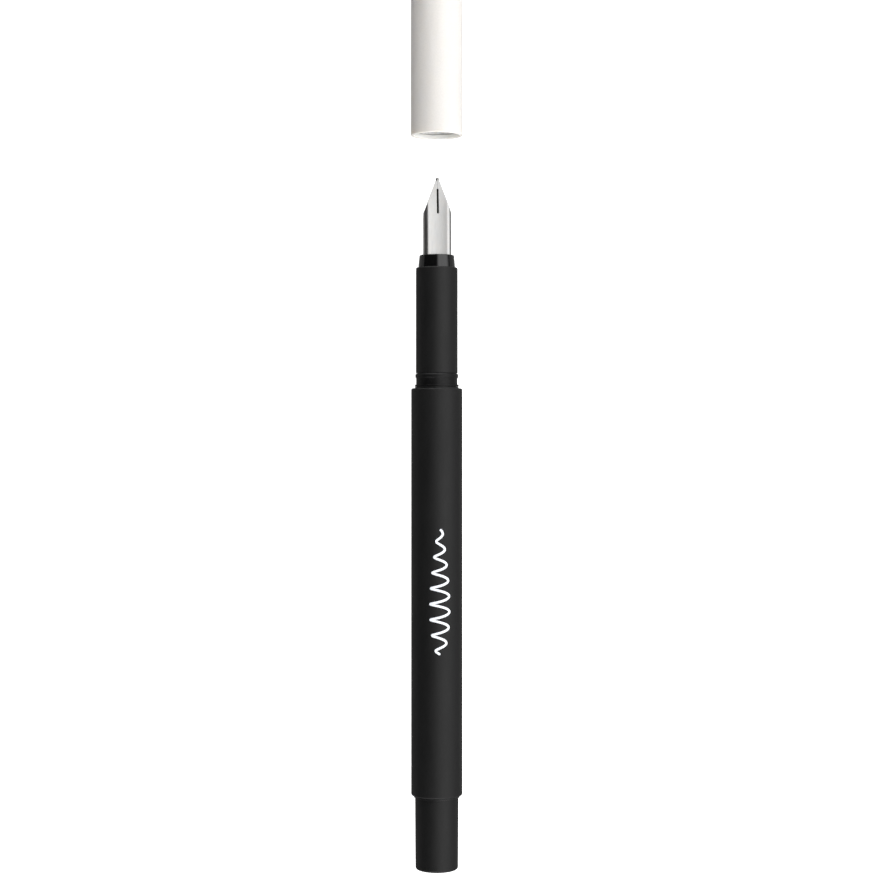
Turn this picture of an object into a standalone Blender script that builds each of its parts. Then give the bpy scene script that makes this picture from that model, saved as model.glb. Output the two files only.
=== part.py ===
"""A fountain pen lying on a table, with its cap pulled off and laid in line with the nib.

The pen's axis runs along +X, from the end face of the tail to the top of the cap. The table is the
plane z = 0, and the origin lies on it, under the middle of pen and cap. Every length is in metres.
A name that ends in _AT is a distance along the axis from the end face of the tail. Pieces of the
section are measured from the mouth of the barrel, and pieces of the cap from the mouth of the cap.
"""

import math

import bmesh
import bpy
from mathutils import Vector

MM = 0.001

# Facets of a turned piece. An even number leaves a flat under the pen, so that it doesn't roll.
SIDES = 24
FILLET_STEPS = 3

# Outside of the pen.
BARREL_R = 5.11 * MM
CAP_R = 5.17 * MM
CAP_LENGTH = 48.0 * MM
BARREL_END_AT = 14.8 * MM
BARREL_MOUTH_AT = 96.1 * MM
CAP_MOUTH_AT = 146.6 * MM
TOTAL_LENGTH = CAP_MOUTH_AT + CAP_LENGTH

# Barrel.
BARREL_BORE_R = 4.60 * MM
BARREL_EDGE = 0.35 * MM
TAIL_R = 4.25 * MM
TAIL_ROOT_R = 4.33 * MM
TAIL_EDGE = 0.5 * MM
TAIL_FLOOR = 1.6 * MM
TAIL_BORE_R = 3.85 * MM
TAIL_SPIGOT_R = 4.50 * MM
TAIL_SPIGOT_END_AT = 22.0 * MM
TAIL_RING_WIDTH = 0.40 * MM
TAIL_RING_OUTER_R = 4.55 * MM
TAIL_RING_INNER_R = 4.39 * MM

# Clearance left where one piece shuts against another.
FIT_GAP = 0.05 * MM

# Screw joint between the barrel and the section. The thread is right-handed.
THREAD_PITCH = 1.25 * MM
THREAD_TURNS = 4.5
THREAD_START = -6.60 * MM
THREAD_ROOT_WIDTH = 0.62 * MM
THREAD_CREST_WIDTH = 0.28 * MM
THREAD_BITE = 0.10 * MM
MALE_ROOT_R = 3.84 * MM
MALE_CREST_R = 4.14 * MM
FEMALE_ROOT_R = 4.26 * MM
FEMALE_CREST_R = 3.96 * MM
# The ridge inside the barrel stands half a pitch ahead, in the groove of the other.
FEMALE_PHASE = 0.5
BUSH_R = 4.54 * MM
BUSH_BACK = -7.30 * MM
BUSH_FRONT = -0.15 * MM

# Section, measured from the mouth of the barrel.
SEAL_R = 4.37 * MM
SEAL_BORE_R = 3.95 * MM
SEAL_BACK = -0.06 * MM
SEAL_FRONT = 0.28 * MM
FLANGE_BACK = 0.36 * MM
FLANGE_FRONT = 0.72 * MM
NECK_R = 4.12 * MM
BEAD_R = 4.27 * MM
BEAD_BACK = 1.95 * MM
BEAD_FRONT = 2.95 * MM
SPIGOT_BACK = -7.20 * MM
CARTRIDGE_SEAT = -0.60 * MM
CARTRIDGE_SOCKET_R = 3.12 * MM
SHAFT_BORE_R = 1.60 * MM
CORE_R = 3.82 * MM
CORE_FRONT = 23.10 * MM
HOUSING_BACK = 11.40 * MM
HOUSING_SOCKET_BACK = 11.00 * MM
HOUSING_SOCKET_R = 3.50 * MM
GRIP_R = 4.17 * MM
GRIP_BORE_R = 3.90 * MM
GRIP_BACK = 3.05 * MM
GRIP_FRONT = 24.15 * MM
GRIP_EDGE = 0.60 * MM
GRIP_LIP_R = 3.76 * MM
GRIP_LIP_BACK = 23.40 * MM

# Nib, feed and the gloss collar that holds them.
COLLAR_BACK = 23.45 * MM
COLLAR_R = 3.68 * MM
COLLAR_FRONT_R = 3.46 * MM
COLLAR_FRONT = 26.60 * MM
COLLAR_EDGE = 0.30 * MM
HOUSING_R = 3.42 * MM
HOUSING_STEP = 16.10 * MM
NIB_BORE_R = 3.10 * MM
NIB_ROLL = math.radians(7.0)
NIB_TOP = 1.90 * MM
NIB_FLAT = 1.90 * MM
NIB_BEND = 0.90 * MM
NIB_WALL = 0.50 * MM
NIB_SHEET = 0.28 * MM
NIB_BACK = 16.50 * MM
NIB_SHOULDER = 35.00 * MM
NIB_SHOULDER_SLOPE = 1.30 * MM
NIB_FRONT = 41.35 * MM
NIB_POINT_HALF_WIDTH = 0.42 * MM
NIB_DROP_START = 30.0 * MM
NIB_DROP = 0.90 * MM
NIB_DROP_POWER = 1.6
NIB_STATIONS = 13
NIB_CROSS_STEPS = 16
SLIT_BACK = 34.80 * MM
SLIT_NARROWS = 39.80 * MM
SLIT_FRONT = 40.95 * MM
SLIT_HALF_WIDTH = 0.20 * MM
SLIT_FINE_HALF_WIDTH = 0.06 * MM
TIPPING_R = 0.33 * MM
TIPPING_GAP = 0.06 * MM
FEED_HALF_WIDTH = 2.40 * MM
FEED_SIDE_LOW = 0.40 * MM
FEED_BELLY = 2.95 * MM
FEED_CHAMFER = 0.60 * MM
FEED_GAP = 0.10 * MM
FEED_WIDTH_SHARE = 0.86
FEED_BODY_BACK = 17.00 * MM
FEED_SHAFT_END = 17.50 * MM
FEED_FRONT = 39.90 * MM
FEED_TAPER_START = 31.50 * MM
FEED_FRONT_DEPTH = 0.70 * MM
FEED_SIDE_TAPER = 0.9
FEED_STATIONS = 8
FIN_COUNT = 6
FIN_FIRST = 27.40 * MM
FIN_PITCH = 0.80 * MM
FIN_SLOT = 0.35 * MM
FIN_CORE_DEPTH = 1.60 * MM
FEED_SHAFT_R = 1.48 * MM
NIPPLE_BACK = -5.10 * MM
NIPPLE_BASE = -0.20 * MM
NIPPLE_R = 1.20 * MM
NIPPLE_TIP_R = 1.00 * MM
INK_BORE_R = 0.45 * MM

# Cap, measured from its mouth towards its top.
CAP_LIP = 0.90 * MM
CAP_LIP_BORE_R = 4.48 * MM
CAP_BORE_R = 4.78 * MM
CAP_EDGE = 0.25 * MM
LINER_R = 4.70 * MM
LINER_BORE_R = 4.46 * MM
LINER_BACK = 1.10 * MM
CLICK_R = 4.36 * MM
CLICK_BACK = 3.00 * MM
CLICK_FRONT = 3.60 * MM
LINER_STEP = 24.40 * MM
NIB_CHAMBER_R = 3.90 * MM
NIB_CHAMBER_END = 43.60 * MM
NIB_CHAMBER_FILLET = 1.0 * MM
LINER_FRONT = 44.60 * MM
PLUG_SPIGOT_R = 4.70 * MM
PLUG_SPIGOT_BACK = 44.90 * MM
PLUG_FLANGE_BACK = 46.60 * MM
PLUG_EDGE = 1.0 * MM

# Standard short ink cartridge, measured from its mouth back to its closed end.
CARTRIDGE_LENGTH = 38.0 * MM
CARTRIDGE_R = 3.72 * MM
CARTRIDGE_WALL = 0.55 * MM
CARTRIDGE_NECK_R = 2.95 * MM
CARTRIDGE_NECK_LENGTH = 6.75 * MM
CARTRIDGE_SHOULDER = 0.80 * MM
CARTRIDGE_MOUTH_R = 1.45 * MM
CARTRIDGE_MOUTH_GAP = 0.30 * MM
CARTRIDGE_EDGE = 0.50 * MM
SEALING_BALL_R = 1.25 * MM
FREED_BALL_BACK = 7.60 * MM
SPARE_MOUTH_AT = 2.40 * MM
PRESSED_BALL_BACK = 1.60 * MM

# Height of the pen's axis over the table: the cap's lowest facet lies on the table.
AXIS_HEIGHT = CAP_R * math.cos(math.pi / SIDES)


def clear_scene():
    for thing in list(bpy.data.objects):
        bpy.data.objects.remove(thing)


def material(name, colour, roughness, metallic=0.0):
    look = bpy.data.materials.new(name)
    look.use_nodes = True
    shader = look.node_tree.nodes["Principled BSDF"]
    shader.inputs["Base Color"].default_value = (*colour, 1.0)
    shader.inputs["Roughness"].default_value = roughness
    shader.inputs["Metallic"].default_value = metallic
    return look


def axis_point(name, along, parent=None):
    """An empty on the pen's axis, which the pieces of one moving body hang from."""
    point = bpy.data.objects.new(name, None)
    point.empty_display_size = BARREL_R
    point.location = (along, 0.0, 0.0)
    point.parent = parent
    bpy.context.scene.collection.objects.link(point)
    return point


def solid(name, shape, parent, look):
    """Turns a finished bmesh into a named object, smooth except at real edges."""
    bmesh.ops.remove_doubles(shape, verts=shape.verts, dist=1e-8)
    bmesh.ops.recalc_face_normals(shape, faces=shape.faces)
    mesh = bpy.data.meshes.new(name)
    shape.to_mesh(mesh)
    shape.free()
    mesh.shade_smooth()
    mesh.set_sharp_from_angle(angle=math.radians(35.0))
    piece = bpy.data.objects.new(name, mesh)
    piece.parent = parent
    piece.data.materials.append(look)
    bpy.context.scene.collection.objects.link(piece)
    return piece


def as_cutter(piece):
    piece.hide_render = True
    piece.display_type = "WIRE"
    return piece


def combine(piece, other, operation):
    change = piece.modifiers.new(operation.title(), "BOOLEAN")
    change.operation = operation
    change.solver = "EXACT"
    change.object = as_cutter(other)


def rounded(corners):
    """The outline through (along, radius) corners, with an arc at each corner that gives a fillet."""
    points = []
    for index, corner in enumerate(corners):
        here = Vector(corner[:2])
        if len(corner) == 2:
            points.append(here)
            continue
        back = (Vector(corners[index - 1][:2]) - here).normalized()
        ahead = (Vector(corners[(index + 1) % len(corners)][:2]) - here).normalized()
        half_angle = back.angle(ahead) / 2
        centre = here + (back + ahead).normalized() * corner[2] / math.sin(half_angle)
        first = (here + back * corner[2] / math.tan(half_angle) - centre).normalized()
        last = (here + ahead * corner[2] / math.tan(half_angle) - centre).normalized()
        for step in range(FILLET_STEPS + 1):
            points.append(centre + first.slerp(last, step / FILLET_STEPS) * corner[2])
    return points


def turned(name, corners, parent, look):
    """A solid of revolution about the axis. Its closed outline is a list of (along, radius, fillet)."""
    shape = bmesh.new()
    half_step = math.pi / SIDES
    ring = []
    for along, radius in rounded(corners):
        place = (along, radius * math.sin(half_step), -radius * math.cos(half_step))
        ring.append(shape.verts.new(place))
    edges = [shape.edges.new((a, b)) for a, b in zip(ring, ring[1:] + ring[:1])]
    bmesh.ops.spin(
        shape,
        geom=ring + edges,
        axis=(1.0, 0.0, 0.0),
        cent=(0.0, 0.0, 0.0),
        angle=2 * math.pi,
        steps=SIDES,
        use_merge=True,
    )
    on_axis = [face for face in shape.faces if all(v.co.yz.length < 1e-9 for v in face.verts)]
    bmesh.ops.delete(shape, geom=on_axis, context="FACES")
    return solid(name, shape, parent, look)


def lofted(name, sections, parent, look):
    """A solid skinned over rings of points, which all hold the same number of points."""
    shape = bmesh.new()
    rings = [[shape.verts.new(point) for point in section] for section in sections]
    for near, far in zip(rings, rings[1:]):
        for index in range(len(near)):
            after = (index + 1) % len(near)
            shape.faces.new((near[index], near[after], far[after], far[index]))
    shape.faces.new(rings[0])
    shape.faces.new(rings[-1])
    return solid(name, shape, parent, look)


def thread_ridge(name, root_r, crest_r, phase, parent, look):
    """One start of a right-handed thread, as a ridge that runs out to nothing at both ends."""
    steps = round(THREAD_TURNS * SIDES)
    run_out = SIDES // 4
    sections = []
    for step in range(steps + 1):
        angle = 2 * math.pi * (step + 0.5) / SIDES
        along = THREAD_START + THREAD_PITCH * (step / SIDES + phase)
        height = min(1.0, step / run_out, (steps - step) / run_out)
        crest = root_r + (crest_r - root_r) * height
        outward = math.copysign(1.0, crest_r - root_r)
        foot = root_r - outward * THREAD_BITE
        # A run-out end keeps a sliver of height inside the wall that the ridge stands on.
        crest = crest - outward * THREAD_BITE / 2 * (1.0 - height)
        outline = (
            (-THREAD_ROOT_WIDTH / 2, foot),
            (-THREAD_CREST_WIDTH / 2, crest),
            (THREAD_CREST_WIDTH / 2, crest),
            (THREAD_ROOT_WIDTH / 2, foot),
        )
        sections.append(
            [
                (along + offset, radius * math.sin(angle), -radius * math.cos(angle))
                for offset, radius in outline
            ]
        )
    return lofted(name, sections, parent, look)


def make_barrel(frame, looks):
    bore = BARREL_BORE_R
    turned(
        "barrel_shell",
        [
            (BARREL_END_AT, BARREL_R, BARREL_EDGE),
            (BARREL_MOUTH_AT, BARREL_R, BARREL_EDGE),
            (BARREL_MOUTH_AT, bore),
            (BARREL_END_AT, bore),
        ],
        frame,
        looks["soft_black"],
    )
    turned(
        "barrel_tail_plug",
        [
            (0.0, 0.0),
            (0.0, TAIL_R, TAIL_EDGE),
            (BARREL_END_AT - TAIL_RING_WIDTH, TAIL_ROOT_R),
            (BARREL_END_AT + TAIL_RING_WIDTH, TAIL_ROOT_R),
            (BARREL_END_AT + 2 * TAIL_RING_WIDTH, TAIL_SPIGOT_R),
            (TAIL_SPIGOT_END_AT, TAIL_SPIGOT_R),
            (TAIL_SPIGOT_END_AT, TAIL_BORE_R),
            (TAIL_FLOOR, TAIL_BORE_R),
            (TAIL_FLOOR, 0.0),
        ],
        frame,
        looks["soft_black"],
    )
    turned(
        "tail_ring",
        [
            (BARREL_END_AT - TAIL_RING_WIDTH, TAIL_RING_OUTER_R),
            (BARREL_END_AT - FIT_GAP, TAIL_RING_OUTER_R),
            (BARREL_END_AT - FIT_GAP, TAIL_RING_INNER_R),
            (BARREL_END_AT - TAIL_RING_WIDTH, TAIL_RING_INNER_R),
        ],
        frame,
        looks["ring"],
    )
    mouth = axis_point("barrel_mouth", BARREL_MOUTH_AT, frame)
    bush = turned(
        "barrel_thread_bush",
        [
            (BUSH_BACK, BUSH_R),
            (BUSH_FRONT, BUSH_R),
            (BUSH_FRONT, FEMALE_ROOT_R),
            (BUSH_BACK, FEMALE_ROOT_R),
        ],
        mouth,
        looks["plain_black"],
    )
    ridge = thread_ridge(
        "female_ridge", FEMALE_ROOT_R, FEMALE_CREST_R, FEMALE_PHASE, mouth, looks["plain_black"]
    )
    combine(bush, ridge, "UNION")


def make_seal(frame, looks):
    turned(
        "seal_ring",
        [
            (SEAL_BACK, SEAL_R),
            (SEAL_FRONT, SEAL_R),
            (SEAL_FRONT, SEAL_BORE_R),
            (SEAL_BACK, SEAL_BORE_R),
        ],
        frame,
        looks["ring"],
    )


def make_section(frame, looks):
    bead_radius = (BEAD_FRONT - BEAD_BACK) / 4
    core = turned(
        "section_core",
        [
            (SPIGOT_BACK, MALE_ROOT_R),
            (FLANGE_BACK, MALE_ROOT_R),
            (FLANGE_BACK, SEAL_R),
            (FLANGE_FRONT, SEAL_R),
            (FLANGE_FRONT, NECK_R),
            (BEAD_BACK, NECK_R),
            (BEAD_BACK + bead_radius, BEAD_R, bead_radius / 2),
            (BEAD_FRONT - bead_radius, BEAD_R, bead_radius / 2),
            (BEAD_FRONT, NECK_R),
            (BEAD_FRONT, CORE_R),
            (CORE_FRONT, CORE_R),
            (CORE_FRONT, HOUSING_SOCKET_R),
            (HOUSING_SOCKET_BACK, HOUSING_SOCKET_R),
            (HOUSING_SOCKET_BACK, SHAFT_BORE_R),
            (CARTRIDGE_SEAT, SHAFT_BORE_R),
            (CARTRIDGE_SEAT, CARTRIDGE_SOCKET_R),
            (SPIGOT_BACK, CARTRIDGE_SOCKET_R),
        ],
        frame,
        looks["plain_black"],
    )
    ridge = thread_ridge("male_ridge", MALE_ROOT_R, MALE_CREST_R, 0.0, frame, looks["plain_black"])
    combine(core, ridge, "UNION")
    turned(
        "grip_sleeve",
        [
            (GRIP_BACK, GRIP_R, CAP_EDGE / 2),
            (GRIP_FRONT, GRIP_R, GRIP_EDGE / 2),
            (GRIP_FRONT, GRIP_LIP_R),
            (GRIP_LIP_BACK, GRIP_LIP_R),
            (GRIP_LIP_BACK, GRIP_BORE_R),
            (GRIP_BACK, GRIP_BORE_R),
        ],
        frame,
        looks["soft_black"],
    )
    turned(
        "nib_housing",
        [
            (HOUSING_BACK, HOUSING_R),
            (COLLAR_BACK, HOUSING_R),
            (COLLAR_BACK, COLLAR_R),
            (GRIP_FRONT, COLLAR_R),
            (COLLAR_FRONT, COLLAR_FRONT_R, COLLAR_EDGE),
            (COLLAR_FRONT, NIB_BORE_R),
            (HOUSING_STEP, NIB_BORE_R),
            (HOUSING_STEP, SHAFT_BORE_R),
            (HOUSING_BACK, SHAFT_BORE_R),
        ],
        frame,
        looks["gloss_black"],
    )
    nib_frame = axis_point("nib_frame", 0.0, frame)
    nib_frame.rotation_euler = (NIB_ROLL, 0.0, 0.0)
    make_nib(nib_frame, looks)
    make_tipping(nib_frame, looks)
    make_feed(nib_frame, looks)


def nib_top(along):
    """Height of the nib's flat top over the axis. It bows down towards the point."""
    share = max(0.0, (along - NIB_DROP_START) / (NIB_FRONT - NIB_DROP_START))
    return NIB_TOP - NIB_DROP * share**NIB_DROP_POWER


def nib_half_width(along):
    """The nib keeps its full width to the shoulders, and then narrows evenly to the point."""
    full = NIB_FLAT + NIB_BEND
    share = max(0.0, (along - NIB_SHOULDER) / (NIB_FRONT - NIB_SHOULDER))
    return full + (NIB_POINT_HALF_WIDTH - full) * share


def nib_half_run(along):
    """Distance across the sheet, from its middle line over the bend to the edge of its wing."""
    if along >= NIB_SHOULDER:
        over_bend = nib_half_width(along) - NIB_FLAT
        if over_bend <= 0.0:
            return nib_half_width(along)
        return NIB_FLAT + NIB_BEND * math.asin(min(1.0, over_bend / NIB_BEND))
    wing = min(1.0, (NIB_SHOULDER - along) / NIB_SHOULDER_SLOPE)
    return NIB_FLAT + NIB_BEND * math.pi / 2 + NIB_WALL * wing


def nib_point(along, run, inset):
    """A point of the nib's sheet: run across it from the middle line, inset under its outer face."""
    side = math.copysign(1.0, run)
    run = abs(run)
    top = nib_top(along)
    if run <= NIB_FLAT:
        return (along, side * run, top - inset)
    turn = min((run - NIB_FLAT) / NIB_BEND, math.pi / 2)
    down = run - NIB_FLAT - NIB_BEND * turn
    across = NIB_FLAT + (NIB_BEND - inset) * math.sin(turn)
    return (along, side * across, top - NIB_BEND + (NIB_BEND - inset) * math.cos(turn) - down)


def nib_section(along):
    """The nib's sheet, cut across the axis: its outer face, and back along its inner face."""
    half = nib_half_run(along)
    runs = [half * (2 * step / NIB_CROSS_STEPS - 1) for step in range(NIB_CROSS_STEPS + 1)]
    outer = [nib_point(along, run, 0.0) for run in runs]
    inner = [nib_point(along, run, NIB_SHEET) for run in runs]
    return outer + inner[::-1]


def make_nib(frame, looks):
    wing_end = NIB_SHOULDER - NIB_SHOULDER_SLOPE
    sections = [nib_section(place) for place in (NIB_BACK, NIB_DROP_START, wing_end)]
    for step in range(NIB_STATIONS):
        share = step / (NIB_STATIONS - 1)
        sections.append(nib_section(NIB_SHOULDER + share * (NIB_FRONT - NIB_SHOULDER)))
    nib = lofted("nib", sections, frame, looks["steel"])
    outline = [
        (SLIT_BACK, -SLIT_HALF_WIDTH),
        (SLIT_NARROWS, -SLIT_HALF_WIDTH),
        (SLIT_FRONT, -SLIT_FINE_HALF_WIDTH),
        (SLIT_FRONT, SLIT_FINE_HALF_WIDTH),
        (SLIT_NARROWS, SLIT_HALF_WIDTH),
        (SLIT_BACK, SLIT_HALF_WIDTH),
    ]
    levels = [[(x, y, z) for x, y in outline] for z in (0.0, 2 * NIB_TOP)]
    combine(nib, lofted("slit_cutter", levels, frame, looks["steel"]), "DIFFERENCE")


def make_tipping(frame, looks):
    shape = bmesh.new()
    bmesh.ops.create_uvsphere(shape, u_segments=12, v_segments=8, radius=TIPPING_R)
    tipping = solid("nib_tipping", shape, frame, looks["steel"])
    along = NIB_FRONT + TIPPING_GAP + TIPPING_R
    tipping.location = (along, 0.0, nib_top(NIB_FRONT) - NIB_SHEET / 2)


def feed_section(along):
    """The feed, cut across the axis: a flat top under the nib, straight sides and a round belly."""
    share = max(0.0, (along - FEED_TAPER_START) / (FEED_FRONT - FEED_TAPER_START))
    top = nib_top(along) - NIB_SHEET - FEED_GAP
    half_width = min(FEED_HALF_WIDTH, nib_half_width(along) * FEED_WIDTH_SHARE)
    chamfer = min(FEED_CHAMFER, half_width / 3)
    side_height = top - chamfer - FEED_SIDE_LOW
    low = top - chamfer - side_height * (1.0 - FEED_SIDE_TAPER * share)
    belly = (FEED_BELLY + FEED_SIDE_LOW) * (1.0 - share) + FEED_FRONT_DEPTH * share
    points = [
        (along, half_width, low),
        (along, half_width, top - chamfer),
        (along, half_width - chamfer, top),
        (along, chamfer - half_width, top),
        (along, -half_width, top - chamfer),
        (along, -half_width, low),
    ]
    for step in range(1, FEED_STATIONS):
        angle = math.pi * step / FEED_STATIONS
        points.append((along, -half_width * math.cos(angle), low - belly * math.sin(angle)))
    return points


def make_feed(frame, looks):
    turned(
        "feed",
        [
            (NIPPLE_BACK, INK_BORE_R),
            (NIPPLE_BACK, NIPPLE_TIP_R),
            (NIPPLE_BASE, NIPPLE_R),
            (NIPPLE_BASE, FEED_SHAFT_R),
            (FEED_SHAFT_END, FEED_SHAFT_R),
            (FEED_SHAFT_END, INK_BORE_R),
        ],
        frame,
        looks["plain_black"],
    )
    sections = [feed_section(FEED_BODY_BACK)]
    for step in range(FEED_STATIONS):
        share = step / (FEED_STATIONS - 1)
        sections.append(feed_section(FEED_TAPER_START + share * (FEED_FRONT - FEED_TAPER_START)))
    body = lofted("feed_body", sections, frame, looks["plain_black"])
    feed = bpy.data.objects["feed"]
    combine(feed, body, "UNION")
    combine(feed, make_fin_cutter(frame, looks), "DIFFERENCE")


def make_fin_cutter(frame, looks):
    """A comb of flat plates, whose slots leave the fins that hold spare ink under the nib."""
    shape = bmesh.new()
    for fin in range(FIN_COUNT):
        along = FIN_FIRST + fin * FIN_PITCH
        plate = bmesh.ops.create_cube(shape, size=1.0)
        size = (FIN_SLOT, 4 * FEED_HALF_WIDTH, FEED_BELLY)
        bmesh.ops.scale(shape, vec=size, verts=plate["verts"])
        place = (along, 0.0, -FIN_CORE_DEPTH - FEED_BELLY / 2)
        bmesh.ops.translate(shape, vec=place, verts=plate["verts"])
    return solid("fin_cutter", shape, frame, looks["plain_black"])


def make_cap(frame, looks):
    turned(
        "cap_shell",
        [
            (0.0, CAP_LIP_BORE_R, CAP_EDGE / 2),
            (0.0, CAP_R, CAP_EDGE),
            (PLUG_FLANGE_BACK, CAP_R),
            (PLUG_FLANGE_BACK, CAP_BORE_R),
            (CAP_LIP, CAP_BORE_R),
            (CAP_LIP, CAP_LIP_BORE_R),
        ],
        frame,
        looks["cap_white"],
    )
    turned(
        "cap_liner",
        [
            (LINER_BACK, LINER_R),
            (LINER_FRONT, LINER_R),
            (LINER_FRONT, 0.0),
            (NIB_CHAMBER_END, 0.0),
            (NIB_CHAMBER_END, NIB_CHAMBER_R, NIB_CHAMBER_FILLET),
            (LINER_STEP, NIB_CHAMBER_R),
            (LINER_STEP - (LINER_BORE_R - NIB_CHAMBER_R), LINER_BORE_R),
            (CLICK_FRONT + (LINER_BORE_R - CLICK_R), LINER_BORE_R),
            (CLICK_FRONT, CLICK_R),
            (CLICK_BACK, CLICK_R),
            (CLICK_BACK - (LINER_BORE_R - CLICK_R), LINER_BORE_R),
            (LINER_BACK, LINER_BORE_R),
        ],
        frame,
        looks["cap_cream"],
    )
    turned(
        "cap_top_plug",
        [
            (PLUG_SPIGOT_BACK, 0.0),
            (PLUG_SPIGOT_BACK, PLUG_SPIGOT_R),
            (PLUG_FLANGE_BACK + FIT_GAP, PLUG_SPIGOT_R),
            (PLUG_FLANGE_BACK + FIT_GAP, CAP_R),
            (CAP_LENGTH, CAP_R, PLUG_EDGE),
            (CAP_LENGTH, 0.0),
        ],
        frame,
        looks["cap_white"],
    )


def make_cartridge(name, frame, looks):
    """A bottle with a narrow neck, open at the mouth, whose body runs towards -X."""
    inner_neck_r = CARTRIDGE_MOUTH_R
    body_start = -CARTRIDGE_NECK_LENGTH - CARTRIDGE_SHOULDER
    inner_r = CARTRIDGE_R - CARTRIDGE_WALL
    turned(
        name,
        [
            (0.0, inner_neck_r),
            (0.0, CARTRIDGE_NECK_R, CARTRIDGE_EDGE / 2),
            (-CARTRIDGE_NECK_LENGTH, CARTRIDGE_NECK_R),
            (body_start, CARTRIDGE_R),
            (-CARTRIDGE_LENGTH, CARTRIDGE_R, CARTRIDGE_EDGE),
            (-CARTRIDGE_LENGTH, 0.0),
            (CARTRIDGE_WALL - CARTRIDGE_LENGTH, 0.0),
            (CARTRIDGE_WALL - CARTRIDGE_LENGTH, inner_r),
            (body_start, inner_r),
            (-CARTRIDGE_NECK_LENGTH, inner_neck_r),
        ],
        frame,
        looks["clear_blue"],
    )


def make_ball(name, back_from_mouth, frame, looks):
    shape = bmesh.new()
    bmesh.ops.create_uvsphere(shape, u_segments=12, v_segments=8, radius=SEALING_BALL_R)
    ball = solid(name, shape, frame, looks["steel"])
    ball.location = (-back_from_mouth, 0.0, 0.0)


def build():
    clear_scene()
    looks = {
        "soft_black": material("soft_black", (0.020, 0.020, 0.021), 0.55),
        "plain_black": material("plain_black", (0.018, 0.018, 0.019), 0.45),
        "gloss_black": material("gloss_black", (0.010, 0.010, 0.011), 0.08),
        "ring": material("ring", (0.030, 0.030, 0.031), 0.35),
        "steel": material("steel", (0.72, 0.71, 0.69), 0.25, metallic=1.0),
        "cap_white": material("cap_white", (0.86, 0.85, 0.83), 0.45),
        "cap_cream": material("cap_cream", (0.80, 0.76, 0.66), 0.50),
        "clear_blue": material("clear_blue", (0.30, 0.42, 0.70), 0.20),
    }
    pen = axis_point("pen", -TOTAL_LENGTH / 2)
    pen.location.z = AXIS_HEIGHT
    section = axis_point("section", BARREL_MOUTH_AT, pen)
    seal = axis_point("seal", BARREL_MOUTH_AT, pen)
    cap = axis_point("cap", CAP_MOUTH_AT, pen)
    cartridge = axis_point("cartridge", CARTRIDGE_SEAT - CARTRIDGE_MOUTH_GAP, section)
    spare = axis_point("spare_cartridge", SPARE_MOUTH_AT, pen)
    spare.rotation_euler = (0.0, 0.0, math.pi)
    make_barrel(pen, looks)
    make_seal(seal, looks)
    make_section(section, looks)
    make_cap(cap, looks)
    make_cartridge("cartridge_shell", cartridge, looks)
    make_ball("cartridge_ball", FREED_BALL_BACK + SEALING_BALL_R, cartridge, looks)
    make_cartridge("spare_cartridge_shell", spare, looks)
    make_ball("spare_cartridge_ball", PRESSED_BALL_BACK, spare, looks)


build()
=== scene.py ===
import math

import bmesh
import bpy
from bpy.props import FloatProperty, FloatVectorProperty, IntProperty, PointerProperty
from mathutils import Matrix, Vector


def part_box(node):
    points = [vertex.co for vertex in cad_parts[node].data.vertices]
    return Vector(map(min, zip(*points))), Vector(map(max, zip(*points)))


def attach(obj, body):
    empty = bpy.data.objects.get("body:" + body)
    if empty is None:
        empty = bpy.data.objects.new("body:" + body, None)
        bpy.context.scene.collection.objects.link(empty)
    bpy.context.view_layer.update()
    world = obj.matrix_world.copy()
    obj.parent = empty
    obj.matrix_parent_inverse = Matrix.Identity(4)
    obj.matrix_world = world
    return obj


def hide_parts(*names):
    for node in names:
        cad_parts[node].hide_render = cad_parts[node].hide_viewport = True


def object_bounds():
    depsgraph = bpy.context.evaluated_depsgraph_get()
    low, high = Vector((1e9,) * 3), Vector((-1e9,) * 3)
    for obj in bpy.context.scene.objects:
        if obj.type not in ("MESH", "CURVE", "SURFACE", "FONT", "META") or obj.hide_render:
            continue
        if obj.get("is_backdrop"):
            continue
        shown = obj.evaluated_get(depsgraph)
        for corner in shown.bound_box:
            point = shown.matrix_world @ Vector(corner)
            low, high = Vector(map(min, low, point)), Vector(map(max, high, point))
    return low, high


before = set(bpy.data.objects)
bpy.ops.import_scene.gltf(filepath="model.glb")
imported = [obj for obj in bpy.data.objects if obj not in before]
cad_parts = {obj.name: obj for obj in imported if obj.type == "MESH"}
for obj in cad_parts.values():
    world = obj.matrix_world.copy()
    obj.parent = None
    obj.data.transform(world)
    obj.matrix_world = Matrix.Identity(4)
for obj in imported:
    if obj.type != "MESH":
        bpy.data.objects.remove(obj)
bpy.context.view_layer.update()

bl_info = {
    "name": "Fountain Pen Studio",
    "version": (1, 0, 0),
    "blender": (4, 5, 0),
    "location": "3D View > Sidebar > Pen",
    "description": "Models a fountain pen with its cap off, piece by piece, and lights it",
    "category": "Object",
}

MM = 0.001
FACETS = 24  # sides of the frame's turned solids
ROUND_STEPS = 160  # sides of the finished turned pieces
SMALL_ROUND_STEPS = 96  # sides of the ones inside
BALL_SEGMENTS = {"u_segments": 48, "v_segments": 32}
FILLET_STEPS = 6
HOLD = 0.05 * MM  # an extra ring this far past a fillet keeps the long walls evenly shaded
EDGE = 0.06 * MM  # the small radius that a moulding tool leaves on any outer corner
SHARP = math.radians(35.0)
TABLE_HALF = 4.0  # half the side of the table top
NEAREST_SEEN = 10.0 * MM  # the camera shows nothing nearer than this

# The studio, by angle from overhead towards the softbox, and by how far a ray points along the pen.
SOFTBOX_RISE = (math.radians(-3.0), math.radians(16.0))
SOFTBOX_FALL = (math.radians(60.0), math.radians(90.0))
SOFTBOX_ENDS = (0.75, 0.95)
FILL_RISE = (0.68, 0.85)


def low_of(node):
    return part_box(node)[0]


def high_of(node):
    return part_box(node)[1]


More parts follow.
